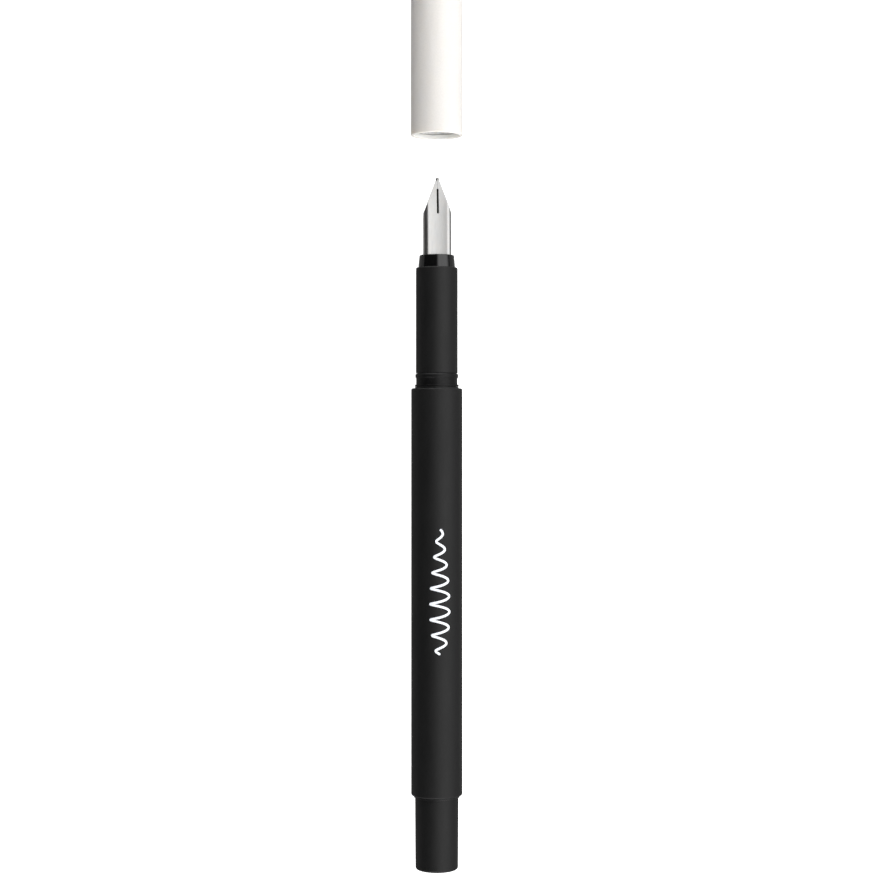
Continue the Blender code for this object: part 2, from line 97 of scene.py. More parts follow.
def radius_of(node):
    """The true outer radius of a turned solid, whose flats lie a little inside it."""
    return (high_of(node).y - low_of(node).y) / 2 / math.cos(math.pi / FACETS)


# Datums along the axis, from the frame. The axis itself runs through the middle of the barrel.
AXIS_Z = (low_of("barrel_shell").z + high_of("barrel_shell").z) / 2
TAIL_X = low_of("barrel_tail_plug").x
BARREL_END_X = low_of("barrel_shell").x
MOUTH_X = high_of("barrel_shell").x
CAP_X = low_of("cap_shell").x
CAP_TOP_X = high_of("cap_top_plug").x
CARTRIDGE_X = high_of("cartridge_shell").x
SPARE_X = low_of("spare_cartridge_shell").x

# Screw joint, measured from the mouth of the barrel.
THREAD_START = -6.60 * MM
THREAD_TURNS = 4.5
THREAD_FOOT = 0.62 * MM
THREAD_CREST = 0.28 * MM
THREAD_BITE = 0.10 * MM
MALE_ROOT_R = 3.84 * MM
MALE_CREST_R = 4.14 * MM
FEMALE_ROOT_R = 4.26 * MM
FEMALE_CREST_R = 3.96 * MM
FEMALE_PHASE = 0.5

# Nib and feed, measured from the mouth of the barrel.
NIB_ROLL = math.radians(7.0)
NIB_TOP = 1.90 * MM
NIB_FLAT = 1.90 * MM
NIB_BEND = 0.90 * MM
NIB_WALL = 0.50 * MM
NIB_BACK = 16.50 * MM
NIB_SHOULDER = 35.00 * MM
NIB_SHOULDER_SLOPE = 1.30 * MM
NIB_FRONT = 41.35 * MM
NIB_POINT_HALF_WIDTH = 0.42 * MM
NIB_DROP_START = 30.0 * MM
NIB_DROP = 0.90 * MM
NIB_DROP_POWER = 1.6
NIB_HALF_STEPS = 22
NIB_BACK_STEPS, NIB_MIDDLE_STEPS, NIB_FRONT_STEPS, SLOT_STEPS = 10, 24, 44, 6
NIB_CLOSEST = 0.004 * MM
NIB_SOFT_EDGE = 0.025 * MM
SLIT_BACK = 34.80 * MM
SLIT_FRONT = 39.80 * MM
SLIT_HALF_WIDTH = 0.19 * MM
HAIRLINE = 0.022 * MM
FEED_HALF_WIDTH = 2.40 * MM
FEED_SIDE_LOW = 0.40 * MM
FEED_BELLY = 2.95 * MM
FEED_CORE_WIDTH = 2.06 * MM
FEED_CORE_DEPTH = 1.60 * MM
FEED_CHAMFER = 0.60 * MM
FEED_GAP = 0.10 * MM
FEED_BODY_BACK = 17.00 * MM
FEED_FRONT = 39.90 * MM
FEED_TAPER_START = 31.50 * MM
FEED_FRONT_DEPTH = 0.70 * MM
FEED_SIDE_TAPER = 0.9
FEED_WIDTH_SHARE = 0.86
FEED_ARC_STEPS = 20
FEED_FRONT_STEPS = 24
COMB_BACK = 27.225 * MM
COMB_FRONT = 31.575 * MM
COMB_FIRST = 28.0 * MM
FIN_ARC_POINTS = 33

# Printed stroke: how far its largest waves lean along the barrel, how early the largest ones come,
# how high the smallest are next to them, and how blunt its ends are.
STROKE_LEAN = 0.30 * MM
STROKE_EARLY = 0.7
STROKE_LEAST = 0.22
STROKE_BLUNT = 0.02


# ---------------------------------------------------------------- settings


def length(name, description, default, **more):
    return FloatProperty(
        name=name, description=description, default=default, unit="LENGTH", precision=5, **more
    )


def colour(name, description, default):
    return FloatVectorProperty(
        name=name, description=description, default=default, subtype="COLOR", min=0.0, max=1.0
    )


class PenSizes(bpy.types.PropertyGroup):
    barrel_radius: length("Barrel radius", "Outer radius of the barrel", radius_of("barrel_shell"))
    barrel_bore: length("Barrel bore", "Radius inside the barrel", 4.60 * MM)
    barrel_edge: length("Barrel edge", "Fillet at both ends of the barrel", 0.35 * MM)
    tail_radius: length("Tail radius", "Radius at the end face of the tail", 4.25 * MM)
    tail_edge: length("Tail edge", "Fillet round the end face of the tail", 0.5 * MM)
    grip_radius: length("Grip radius", "Outer radius of the grip", radius_of("grip_sleeve"))
    grip_edge: length("Grip edge", "Fillet at the front of the grip", 0.30 * MM)
    cap_radius: length("Cap radius", "Outer radius of the cap", radius_of("cap_shell"))
    cap_lip: length("Cap lip", "Radius of the opening at the mouth of the cap", 4.48 * MM)
    cap_edge: length("Cap edge", "Fillet round the outside of the cap's mouth", 0.25 * MM)
    crown_edge: length("Crown edge", "Fillet round the top of the cap", 1.0 * MM)
    thread_pitch: length("Thread pitch", "Travel of the section in one turn", 1.25 * MM)
    nib_sheet: length("Nib sheet", "Thickness of the nib's steel sheet", 0.28 * MM)
    nib_hollow: length("Nib hollow", "How far the nib's top dips in its middle", 0.075 * MM)
    ball_radius: length("Ball radius", "Radius of a cartridge's sealing ball", 1.25 * MM)
    fin_count: IntProperty(name="Fins", description="Fins under the feed", default=5, min=1)
    fin_pitch: length("Fin pitch", "Distance from one fin to the next", 0.80 * MM)
    fin_thickness: length("Fin thickness", "Thickness of a fin", 0.45 * MM)


class StrokeSizes(bpy.types.PropertyGroup):
    start: length("Start", "Where the stroke starts, from the end of the tail", 43.3 * MM)
    reach: length("Reach", "Length of the stroke along the barrel", 24.8 * MM)
    width: length("Line width", "Width of the printed line", 0.46 * MM)
    film: length("Film", "Thickness of the ink film", 0.016 * MM)
    swing: length("Swing", "Height of the largest wave over its middle line", 1.95 * MM)
    waves: FloatProperty(name="Waves", description="Number of waves", default=8.0, min=1.0)
    turn: FloatProperty(
        name="Turn",
        description="How far the stroke lies round the barrel from its top",
        default=math.radians(-7.3),
        subtype="ANGLE",
    )


class PenColours(bpy.types.PropertyGroup):
    soft_black: colour("Soft black", "Rubbery lacquer of barrel and grip", (0.0036, 0.0036, 0.0037))
    plain_black: colour("Plain black", "Moulded black plastic", (0.0050, 0.0050, 0.0052))
    gloss_black: colour("Gloss black", "Polished black plastic", (0.0022, 0.0022, 0.0023))
    rubber: colour("Rubber", "Seal and tail band", (0.0060, 0.0060, 0.0062))
    steel: colour("Steel", "Nib and balls", (0.385, 0.385, 0.384))
    cap_white: colour("Cap white", "Soft white lacquer of the cap", (0.655, 0.630, 0.602))
    cream: colour("Cream", "Inner cap", (0.97, 0.94, 0.88))
    cartridge_blue: colour("Cartridge blue", "Ink cartridges", (0.20, 0.33, 0.66))
    print_white: colour("Print white", "Printed stroke", (0.80, 0.83, 0.88))
    floor: colour("Floor", "Table top", (0.55, 0.55, 0.545))


class StudioSettings(bpy.types.PropertyGroup):
    lens: FloatProperty(name="Lens", description="Focal length", default=77.0, unit="CAMERA")
    camera_x: length("Camera along", "Where along the pen the camera looks", -10.92 * MM)
    camera_y: length("Camera across", "How far the camera stands beside the axis", -0.04 * MM)
    camera_height: length("Camera height", "Height of the camera over the axis", 374.0 * MM)
    box_light: FloatProperty(name="Softbox", description="Brightness of the softbox", default=2.4)
    fill_light: FloatProperty(name="Fill", description="Brightness of the end panels", default=4.2)
    room_light: FloatProperty(name="Room", description="Light from all round", default=0.045)
    floor_glow: FloatProperty(name="Floor glow", description="How bright the table looks", default=1.0)


# ---------------------------------------------------------------- nodes


def add(tree, kind, inputs=(), **settings):
    """A new node. Each input is set to a value, or joined to another node's output."""
    made = tree.nodes.new(kind)
    for key, value in settings.items():
        setattr(made, key, value)
    for key, value in dict(inputs).items():
        if isinstance(value, bpy.types.NodeSocket):
            tree.links.new(value, made.inputs[key])
        else:
            made.inputs[key].default_value = value
    return made


def maths(tree, operation, *terms):
    return add(tree, "ShaderNodeMath", enumerate(terms), operation=operation).outputs[0]


def ranged(tree, value, start, end, low, high, kind="SMOOTHSTEP"):
    """value is taken from start..end to low..high, and held at both ends."""
    ends = {"Value": value, "From Min": start, "From Max": end, "To Min": low, "To Max": high}
    return add(tree, "ShaderNodeMapRange", ends, interpolation_type=kind).outputs["Result"]


# ---------------------------------------------------------------- finishes


def new_look(name):
    look = bpy.data.materials.new(name)
    look.use_nodes = True
    return look, look.node_tree, look.node_tree.nodes["Principled BSDF"]


def surface_space(tree, stretch=(1.0, 1.0, 1.0)):
    """Places on the piece in millimetres. A small stretch draws the pattern out that way."""
    place = add(tree, "ShaderNodeTexCoord").outputs["Object"]
    scale = [factor / MM for factor in stretch]
    return add(tree, "ShaderNodeMapping", {"Vector": place, "Scale": scale}).outputs["Vector"]


def noise(tree, space, per_mm, detail=3.0, roughness=0.55):
    """Even noise whose blobs are about 1 / per_mm across."""
    inputs = {"Vector": space, "Scale": per_mm, "Detail": detail, "Roughness": roughness}
    return add(tree, "ShaderNodeTexNoise", inputs).outputs["Fac"]


def mixed(tree, share, first, second):
    """A colour between two others."""
    ends = [tone if isinstance(tone, bpy.types.NodeSocket) else (*tone, 1.0) for tone in (first, second)]
    made = add(tree, "ShaderNodeMix", {0: share, 6: ends[0], 7: ends[1]}, data_type="RGBA")
    return made.outputs[2]


def dented(tree, height, depth, before=None):
    """A normal with bumps as deep as depth, on top of another normal."""
    inputs = {"Height": height, "Distance": depth}
    if before is not None:
        inputs["Normal"] = before
    return add(tree, "ShaderNodeBump", inputs).outputs["Normal"]


def worn_edges(tree, space, per_mm):
    """How far each point's edge is rubbed, with gaps where the hand missed it."""
    wear = add(tree, "ShaderNodeAttribute", attribute_name="wear").outputs["Fac"]
    gaps = ranged(tree, noise(tree, space, per_mm), 0.35, 0.62, 0.15, 1.0)
    return maths(tree, "MULTIPLY", wear, gaps)


def scaled(tone, factor):
    return [min(1.0, part * factor) for part in tone]


def glow_through(shader, depth):
    """Light that enters pale plastic spreads inside it, which brightens its rims."""
    shader.inputs["Subsurface Weight"].default_value = 0.7
    shader.inputs["Subsurface Radius"].default_value = (1.0, 0.93, 0.82)
    shader.inputs["Subsurface Scale"].default_value = depth


def dress(tree, shader, tone, rough, normal, sheen=None, depth=0.0):
    """Joins a finish's colour, roughness and bumps to its shader."""
    for label, value in (("Base Color", tone), ("Roughness", rough), ("Normal", normal)):
        tree.links.new(value, shader.inputs[label])
    if sheen is not None:
        shader.inputs["Specular IOR Level"].default_value = sheen
    if depth:
        glow_through(shader, depth)


def soft_lacquer(name, tone, rub, vary, grain, roughness, sheen, depth=0.0):
    """Rubbery lacquer: a fine matt grain, faint finger smudges and edges rubbed paler."""
    look, tree, shader = new_look(name)
    space = surface_space(tree)
    smudge = noise(tree, surface_space(tree, (0.35, 1.0, 1.0)), 0.35, 4.0, 0.62)
    mottle = noise(tree, space, 3.2, 4.0)
    share = ranged(tree, mottle, 0.32, 0.68, 0.0, 1.0)
    base = mixed(tree, share, scaled(tone, 1.0 - vary), scaled(tone, 1.0 + vary))
    worn = maths(tree, "MULTIPLY", worn_edges(tree, space, 1.4), 0.35)
    rough = ranged(tree, smudge, 0.35, 0.65, roughness - 0.035, roughness + 0.035)
    waves = dented(tree, noise(tree, space, 0.8, 2.0), grain / 3)
    normal = dented(tree, noise(tree, space, 8.0, 2.0), grain, waves)
    dress(tree, shader, mixed(tree, worn, base, rub), rough, normal, sheen, depth)
    return look


def pen_lacquer(name, tone):
    """The black lacquer of barrel and grip, which wears to grey."""
    return soft_lacquer(name, tone, scaled(tone, 4.0), 0.08, 0.0035 * MM, 0.56, 0.25)


def painted_light_bore(look, tone, radius):
    """Paints the inside of a lacquered tube in a paler tone: painted light in its shaded bore."""
    tree = look.node_tree
    colour_socket = tree.nodes["Principled BSDF"].inputs["Base Color"]
    place = add(tree, "ShaderNodeSeparateXYZ", {0: surface_space(tree)}).outputs
    above = maths(tree, "SUBTRACT", place["Z"], AXIS_Z / MM)
    squares = maths(tree, "MULTIPLY_ADD", place["Y"], place["Y"], maths(tree, "MULTIPLY", above, above))
    # painted light: inside this radius the bore takes the paler tone
    outside = ranged(tree, maths(tree, "SQRT", squares), radius / MM, radius / MM + 0.1, 0.0, 1.0)
    lacquer = colour_socket.links[0].from_socket
    tree.links.new(mixed(tree, outside, tone, lacquer), colour_socket)
    return look


def cap_lacquer(name, tone):
    """The cap's smooth white lacquer, which stops at its lip; inside the lip the bore is painted cream, as
    painted light in the shaded mouth.
    """
    scene = bpy.context.scene
    look = soft_lacquer(name, tone, scaled(tone, 1.08), 0.02, 0.0006 * MM, 0.5, 0.4, 1.0 * MM)
    return painted_light_bore(look, tuple(scene.pen_colours.cream), scene.pen_sizes.cap_lip)


def moulded_plastic(name, tone, roughness, sheen=0.5, depth=0.0):
    """Plain moulded plastic: flow streaks along the axis, fine spark texture."""
    look, tree, shader = new_look(name)
    space = surface_space(tree)
    streak = noise(tree, surface_space(tree, (0.15, 1.0, 1.0)), 1.6, 3.0)
    base = mixed(tree, ranged(tree, streak, 0.3, 0.7, 0.0, 1.0), scaled(tone, 0.9), scaled(tone, 1.12))
    worn = maths(tree, "MULTIPLY", worn_edges(tree, space, 2.0), 0.25)
    rough = ranged(tree, noise(tree, space, 2.2, 4.0), 0.3, 0.7, roughness - 0.05, roughness + 0.06)
    spark = dented(tree, noise(tree, space, 7.0, 2.0), 0.003 * MM)
    dress(tree, shader, mixed(tree, worn, base, scaled(tone, 2.2)), rough, spark, sheen, depth)
    return look


def polished_plastic(name, tone):
    """Polished plastic with hairline scratches and a few dull specks."""
    look, tree, shader = new_look(name)
    space = surface_space(tree)
    around = noise(tree, surface_space(tree, (6.0, 0.35, 0.35)), 2.4, 2.0)
    scratch = ranged(tree, around, 0.60, 0.66, 0.0, 1.0)
    speck = ranged(tree, noise(tree, space, 5.0, 2.0), 0.66, 0.74, 0.0, 1.0)
    marks = maths(tree, "MAXIMUM", scratch, speck)
    rough = ranged(tree, marks, 0.0, 1.0, 0.07, 0.17)
    ripple = dented(tree, noise(tree, space, 0.7, 1.0), 0.0015 * MM)
    dress(tree, shader, mixed(tree, marks, tone, scaled(tone, 1.5)), rough, ripple)
    return look


def drawn_steel(name, tone, roughness):
    """Steel brushed along the pen, with a faint warm tint that comes and goes."""
    look, tree, shader = new_look(name)
    brush = noise(tree, surface_space(tree, (0.10, 3.0, 3.0)), 5.0, 3.0, 0.6)
    cloud = noise(tree, surface_space(tree), 0.9, 3.0)
    warm = [tone[0] * 1.02, tone[1], tone[2] * 0.97]
    base = mixed(tree, ranged(tree, cloud, 0.35, 0.65, 0.0, 1.0), tone, warm)
    base = mixed(tree, ranged(tree, brush, 0.35, 0.65, 0.0, 0.35), base, scaled(tone, 0.82))
    rough = ranged(tree, brush, 0.3, 0.7, roughness - 0.05, roughness + 0.06)
    dress(tree, shader, base, rough, dented(tree, brush, 0.0012 * MM))
    shader.inputs["Metallic"].default_value = 1.0
    return look


def rubber_look(name, tone):
    """Dull black rubber with a dusty bloom."""
    look, tree, shader = new_look(name)
    space = surface_space(tree)
    bloom = ranged(tree, noise(tree, space, 4.0, 4.0), 0.45, 0.7, 0.0, 1.0)
    rough = ranged(tree, bloom, 0.0, 1.0, 0.42, 0.6)
    pores = dented(tree, noise(tree, space, 9.0, 2.0), 0.003 * MM)
    dress(tree, shader, mixed(tree, bloom, tone, scaled(tone, 1.7)), rough, pores, 0.25)
    return look


def tinted_plastic(name, tone):
    """Thin see-through plastic, cloudier in some places than in others."""
    look, tree, shader = new_look(name)
    space = surface_space(tree, (0.4, 1.0, 1.0))
    cloud = ranged(tree, noise(tree, space, 0.8, 3.0), 0.35, 0.65, 0.0, 1.0)
    rough = ranged(tree, cloud, 0.0, 1.0, 0.12, 0.22)
    ripple = dented(tree, noise(tree, space, 2.5, 2.0), 0.002 * MM)
    dress(tree, shader, mixed(tree, cloud, tone, scaled(tone, 1.25)), rough, ripple)
    shader.inputs["Transmission Weight"].default_value = 0.6
    return look


def printed_ink(name, tone):
    """White ink that covers a little less in places, with a soft sheen."""
    look, tree, shader = new_look(name)
    space = surface_space(tree)
    thin = ranged(tree, noise(tree, space, 3.0, 4.0), 0.4, 0.7, 0.0, 0.3)
    rough = ranged(tree, thin, 0.0, 0.3, 0.38, 0.55)
    grain = dented(tree, noise(tree, space, 12.0, 2.0), 0.002 * MM)
    dress(tree, shader, mixed(tree, thin, tone, scaled(tone, 0.72)), rough, grain)
    return look


def table_top(name, tone, glow):
    """A pale sheet lit from below, which keeps shadows faint."""
    look, tree, shader = new_look(name)
    space = surface_space(tree)
    fibre = ranged(tree, noise(tree, space, 0.02, 4.0), 0.35, 0.65, 0.0, 1.0)
    sheet = mixed(tree, fibre, tone, scaled(tone, 0.985))
    shader.inputs["Roughness"].default_value = 0.8
    shader.inputs["Emission Color"].default_value = (1.0, 1.0, 1.0, 1.0)
    seen = add(tree, "ShaderNodeLightPath").outputs["Is Camera Ray"]
    tree.links.new(ranged(tree, seen, 0.0, 1.0, 0.05 * glow, glow), shader.inputs["Emission Strength"])
    tree.links.new(mixed(tree, seen, scaled(tone, 0.4), sheet), shader.inputs["Base Color"])
    return look


LOOK_MAKERS = {
    "soft_black": pen_lacquer,
    "plain_black": lambda name, tone: moulded_plastic(name, tone, 0.42, 0.15),
    "gloss_black": polished_plastic,
    "rubber": rubber_look,
    "steel": lambda name, tone: drawn_steel(name, tone, 0.34),
    "cap_white": cap_lacquer,
    "cream": lambda name, tone: moulded_plastic(name, tone, 0.46, 0.5, 2.5 * MM),
    "cartridge_blue": tinted_plastic,
    "print_white": printed_ink,
}


def look_for(name):
    """The finish of that name, made the first time that a piece asks for it."""
    finish = name + "_finish"
    found = bpy.data.materials.get(finish)
    if found is not None:
        return found
    return LOOK_MAKERS[name](finish, tuple(getattr(bpy.context.scene.pen_colours, name)))


# ---------------------------------------------------------------- shapes


def rounded(corners):
    """Points (along, radius, wear) through (along, radius, fillet) corners of a closed outline."""
    points = []
    for index, (along, radius, fillet) in enumerate(corners):
        here = Vector((along, radius))
        if fillet == 0.0:
            points.append((along, radius, 0.0))
            continue
        back = (Vector(corners[index - 1][:2]) - here).normalized()
        ahead = (Vector(corners[(index + 1) % len(corners)][:2]) - here).normalized()
        half_angle = back.angle(ahead) / 2
        reach = fillet / math.tan(half_angle)
        centre = here + (back + ahead).normalized() * fillet / math.sin(half_angle)
        first = (here + back * reach - centre).normalized()
        last = (here + ahead * reach - centre).normalized()
        points.append((*(here + back * (reach + HOLD)), 0.0))
        for step in range(FILLET_STEPS + 1):
            share = step / FILLET_STEPS
            points.append((*(centre + first.slerp(last, share) * fillet), math.sin(math.pi * share)))
        points.append((*(here + ahead * (reach + HOLD)), 0.0))
    return points


def mesh_of(shape, name):
    """Closes a bmesh's doubles, turns its faces out and shades it smooth but for real edges."""
    bmesh.ops.remove_doubles(shape, verts=shape.verts, dist=1e-8)
    bmesh.ops.recalc_face_normals(shape, faces=shape.faces)
    mesh = bpy.data.meshes.new(name)
    shape.to_mesh(mesh)
    shape.free()
    mesh.shade_smooth()
    mesh.set_sharp_from_angle(angle=SHARP)
    return mesh


def turned_mesh(name, corners, datum=0.0, steps=ROUND_STEPS):
    """A solid of revolution about the pen's axis, whose closed outline starts from a datum."""
    shape = bmesh.new()
    wear = shape.verts.layers.float.new("wear")
    ring = []
    for along, radius, worn in rounded(corners):
        point = shape.verts.new((datum + along, 0.0, AXIS_Z - radius))
        point[wear] = worn
        ring.append(point)
    edges = [shape.edges.new((a, b)) for a, b in zip(ring, ring[1:] + ring[:1])]
    axis_centre = (0.0, 0.0, AXIS_Z)
    bmesh.ops.spin(
        shape,
        geom=ring + edges,
        axis=(1.0, 0.0, 0.0),
        cent=axis_centre,
        angle=2 * math.pi,
        steps=steps,
        use_merge=True,
    )
    centre = Vector((0.0, AXIS_Z))
    on_axis = [face for face in shape.faces if all((v.co.yz - centre).length < 1e-8 for v in face.verts)]
    bmesh.ops.delete(shape, geom=on_axis, context="FACES")
    return mesh_of(shape, name)


def lofted_mesh(name, sections):
    """A closed skin over rings of points, which all hold the same number of points."""
    shape = bmesh.new()
    rings = [[shape.verts.new(point) for point in section] for section in sections]
    for near, far in zip(rings, rings[1:]):
        for index in range(len(near)):
            after = (index + 1) % len(near)
            shape.faces.new((near[index], near[after], far[after], far[index]))
    shape.faces.new(rings[0])
    shape.faces.new(rings[-1])
    return mesh_of(shape, name)


def joined_mesh(name, meshes):
    """Several meshes as one."""
    shape = bmesh.new()
    for mesh in meshes:
        shape.from_mesh(mesh)
    whole = bpy.data.meshes.new(name)
    shape.to_mesh(whole)
    shape.free()
    for mesh in meshes:
        bpy.data.meshes.remove(mesh)
    whole.set_sharp_from_angle(angle=SHARP)
    return whole


def finished_mesh(name, mesh, *modifiers):
    """The mesh with modifiers applied. Each is (kind, settings)."""
    holder = bpy.data.objects.new(name, mesh)
    bpy.context.scene.collection.objects.link(holder)
    for kind, settings in modifiers:
        change = holder.modifiers.new(kind.title(), kind)
        for key, value in settings.items():
            setattr(change, key, value)
    graph = bpy.context.evaluated_depsgraph_get()
    result = bpy.data.meshes.new_from_object(holder.evaluated_get(graph))
    bpy.data.objects.remove(holder)
    bpy.data.meshes.remove(mesh)
    if not result.polygons:
        raise RuntimeError(f"{name} came out empty")
    return result


def grown_mesh(name, tree, values):
    """What a Geometry Nodes tree makes with these inputs, as a plain mesh with its faces out."""
    holder = bpy.data.objects.new(name, bpy.data.meshes.new(name))
    bpy.context.scene.collection.objects.link(holder)
    change = holder.modifiers.new("Grow", "NODES")
    change.node_group = tree
    for item in tree.interface.items_tree:
        if item.in_out == "INPUT" and item.name in values:
            change[item.identifier] = values[item.name]
    graph = bpy.context.evaluated_depsgraph_get()
    result = bpy.data.meshes.new_from_object(holder.evaluated_get(graph))
    holder.modifiers.remove(change)
    bpy.data.objects.remove(holder)
    if not result.polygons:
        raise RuntimeError(f"{name} grew no faces")
    shape = bmesh.new()
    shape.from_mesh(result)
    bpy.data.meshes.remove(result)
    return mesh_of(shape, name)


# Each piece's finish, the body that it rides on, its material slot and the frame's node that it stands for.
PLACES = {
    "barrel_tube": ("soft_black", "barrel", "soft_black", "barrel_shell"),
    "tail_end": ("soft_black", "barrel", "soft_black", "barrel_tail_plug"),
    "tail_band": ("rubber", "barrel", "ring", "tail_ring"),
    "thread_sleeve": ("plain_black", "barrel", "plain_black", "barrel_thread_bush"),
    "barrel_stroke": ("print_white", "barrel", None, None),
    "mouth_seal": ("rubber", "seal_ring", "ring", "seal_ring"),
    "section_body": ("plain_black", "section", "plain_black", "section_core"),
    "grip": ("soft_black", "section", "soft_black", "grip_sleeve"),
    "nib_collar": ("gloss_black", "section", "gloss_black", "nib_housing"),
    "nib_blade": ("steel", "section", "steel", "nib"),
    "nib_point": ("steel", "section", "steel", "nib_tipping"),
    "ink_feed": ("plain_black", "section", "plain_black", "feed"),
    "cap_tube": ("cap_white", "cap", "cap_white", "cap_shell"),
    "inner_cap": ("cream", "cap", "cap_cream", "cap_liner"),
    "cap_crown": ("cap_white", "cap", "cap_white", "cap_top_plug"),
    "ink_cartridge": ("cartridge_blue", "cartridge", "clear_blue", "cartridge_shell"),
    "spare_ink_cartridge": ("cartridge_blue", "spare_cartridge", "clear_blue", "spare_cartridge_shell"),
    "loose_ball": ("steel", "cartridge_ball", "steel", "cartridge_ball"),
    "pressed_ball": ("steel", "spare_cartridge", "steel", "spare_cartridge_ball"),
}


def set_in_place(name, mesh):
    """Adds a finished piece as PLACES has it."""
    look, body, slot, node = PLACES[name]
    mesh.name = name
    mesh.materials.clear()
    mesh.materials.append(look_for(look))
    piece = bpy.data.objects.new(name, mesh)
    bpy.context.scene.collection.objects.link(piece)
    if node:
        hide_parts(node)
    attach(piece, body)


def turn_in_place(name, corners, datum=0.0, steps=ROUND_STEPS):
    """Adds a piece that is a plain solid of revolution."""
    set_in_place(name, turned_mesh(name, corners, datum, steps))


# ---------------------------------------------------------------- growing trees


def new_tree(name, inputs):
    """A Geometry Nodes tree with these named inputs, and its group input node."""
    tree = bpy.data.node_groups.new(name, "GeometryNodeTree")
    tree.interface.new_socket(name="Geometry", in_out="OUTPUT", socket_type="NodeSocketGeometry")
    kinds = {int: "NodeSocketInt", float: "NodeSocketFloat"}
    for label, default in inputs.items():
        kind = kinds.get(type(default), "NodeSocketMaterial")
        socket = tree.interface.new_socket(name=label, in_out="INPUT", socket_type=kind)
        if default is not None:
            socket.default_value = default
    return tree, tree.nodes.new("NodeGroupInput").outputs


def end_tree(tree, geometry, look):
    real = add(tree, "GeometryNodeRealizeInstances", {"Geometry": geometry})
    dressed = add(tree, "GeometryNodeSetMaterial", {"Geometry": real.outputs[0], "Material": look})
    out = tree.nodes.new("NodeGroupOutput")
    tree.links.new(dressed.outputs[0], out.inputs[0])


def swept(tree, path, profile, size=1.0):
    """A profile drawn along a path, upright all the way, with closed ends."""
    upright = add(tree, "GeometryNodeSetCurveNormal", {"Curve": path.outputs[0]}, mode="Z_UP")
    curves = {"Curve": upright.outputs[0], "Profile Curve": profile.outputs[0]}
    return add(tree, "GeometryNodeCurveToMesh", {**curves, "Scale": size, "Fill Caps": True}).outputs[0]


def vector(tree, x=0.0, y=0.0, z=0.0):
    return add(tree, "ShaderNodeCombineXYZ", {"X": x, "Y": y, "Z": z}).outputs[0]


def ridge_tree():
    """One start of a right-handed thread along +X, which runs out to nothing at both ends."""
    tree, given = new_tree(
        "thread_ridge",
        {
            "Turns": THREAD_TURNS,
            "Pitch": 1.25 * MM,
            "Start": 0.0,
            "Root Radius": MALE_ROOT_R,
            "Crest Radius": MALE_CREST_R,
            "Foot Width": THREAD_FOOT,
            "Crest Width": THREAD_CREST,
            "Bite": THREAD_BITE,
            "Run Out": 0.25,
            "Steps": 72,
            "Material": None,
        },
    )
    winding = {
        "Resolution": given["Steps"],
        "Rotations": given["Turns"],
        "Start Radius": given["Root Radius"],
        "End Radius": given["Root Radius"],
        "Height": maths(tree, "MULTIPLY", given["Turns"], given["Pitch"]),
        "Reverse": True,
    }
    spiral = add(tree, "GeometryNodeCurveSpiral", winding)
    # Across the ridge, a profile's x is the depth under the root and its y lies along the axis.
    crest = maths(tree, "SUBTRACT", given["Root Radius"], given["Crest Radius"])
    outwards = maths(tree, "SIGN", crest)
    foot = maths(tree, "MULTIPLY", outwards, maths(tree, "MULTIPLY", given["Bite"], -1.0))
    half_foot = maths(tree, "DIVIDE", given["Foot Width"], 2.0)
    half_crest = maths(tree, "DIVIDE", given["Crest Width"], 2.0)
    corners = {
        "Point 1": vector(tree, foot, maths(tree, "MULTIPLY", half_foot, -1.0)),
        "Point 2": vector(tree, crest, maths(tree, "MULTIPLY", half_crest, -1.0)),
        "Point 3": vector(tree, crest, half_crest),
        "Point 4": vector(tree, foot, half_foot),
    }
    profile = add(tree, "GeometryNodeCurvePrimitiveQuadrilateral", corners, mode="POINTS")
    share = add(tree, "GeometryNodeSplineParameter").outputs["Factor"]
    remaining = maths(tree, "SUBTRACT", 1.0, share)
    nearest = maths(tree, "MULTIPLY", maths(tree, "MINIMUM", share, remaining), given["Turns"])
    size = ranged(tree, maths(tree, "DIVIDE", nearest, given["Run Out"]), 0.0, 1.0, 0.02, 1.0, "LINEAR")
    placing = {
        "Geometry": swept(tree, spiral, profile, size),
        "Translation": vector(tree, given["Start"], 0.0, AXIS_Z),
        "Rotation": (0.0, math.pi / 2, 0.0),
    }
    laid = add(tree, "GeometryNodeTransform", placing)
    end_tree(tree, laid.outputs[0], given["Material"])
    return tree


def fin_tree():
    """A row of D-shaped fins along +X, flat side up."""
    tree, given = new_tree(
        "feed_fins",
        {
            "Count": 5,
            "Pitch": 0.8 * MM,
            "First": 0.0,
            "Thickness": 0.45 * MM,
            "Half Width": FEED_HALF_WIDTH,
            "Depth": FEED_BELLY,
            "Height": FEED_SIDE_LOW,
            "Material": None,
        },
    )
    spacing = {
        "Count": given["Count"],
        "Start Location": vector(tree, given["First"], 0.0, given["Height"]),
        "Offset": vector(tree, given["Pitch"]),
    }
    line = add(tree, "GeometryNodeMeshLine", spacing, mode="OFFSET")
    half = maths(tree, "DIVIDE", given["Thickness"], 2.0)
    ends = {"Start": vector(tree, maths(tree, "MULTIPLY", half, -1.0)), "End": vector(tree, half)}
    path = add(tree, "GeometryNodeCurvePrimitiveLine", ends)
    bow = {
        "Resolution": FIN_ARC_POINTS,
        "Radius": 1.0,
        "Start Angle": 0.0,
        "Sweep Angle": math.pi,
        "Connect Center": True,
    }
    arc = add(tree, "GeometryNodeCurveArc", bow, mode="RADIUS")
    stretch = {
        "Geometry": swept(tree, path, arc),
        "Scale": vector(tree, 1.0, given["Half Width"], given["Depth"]),
    }
    fin = add(tree, "GeometryNodeTransform", stretch)
    copies = {"Points": line.outputs[0], "Instance": fin.outputs[0]}
    row = add(tree, "GeometryNodeInstanceOnPoints", copies)
    end_tree(tree, row.outputs[0], given["Material"])
    return tree


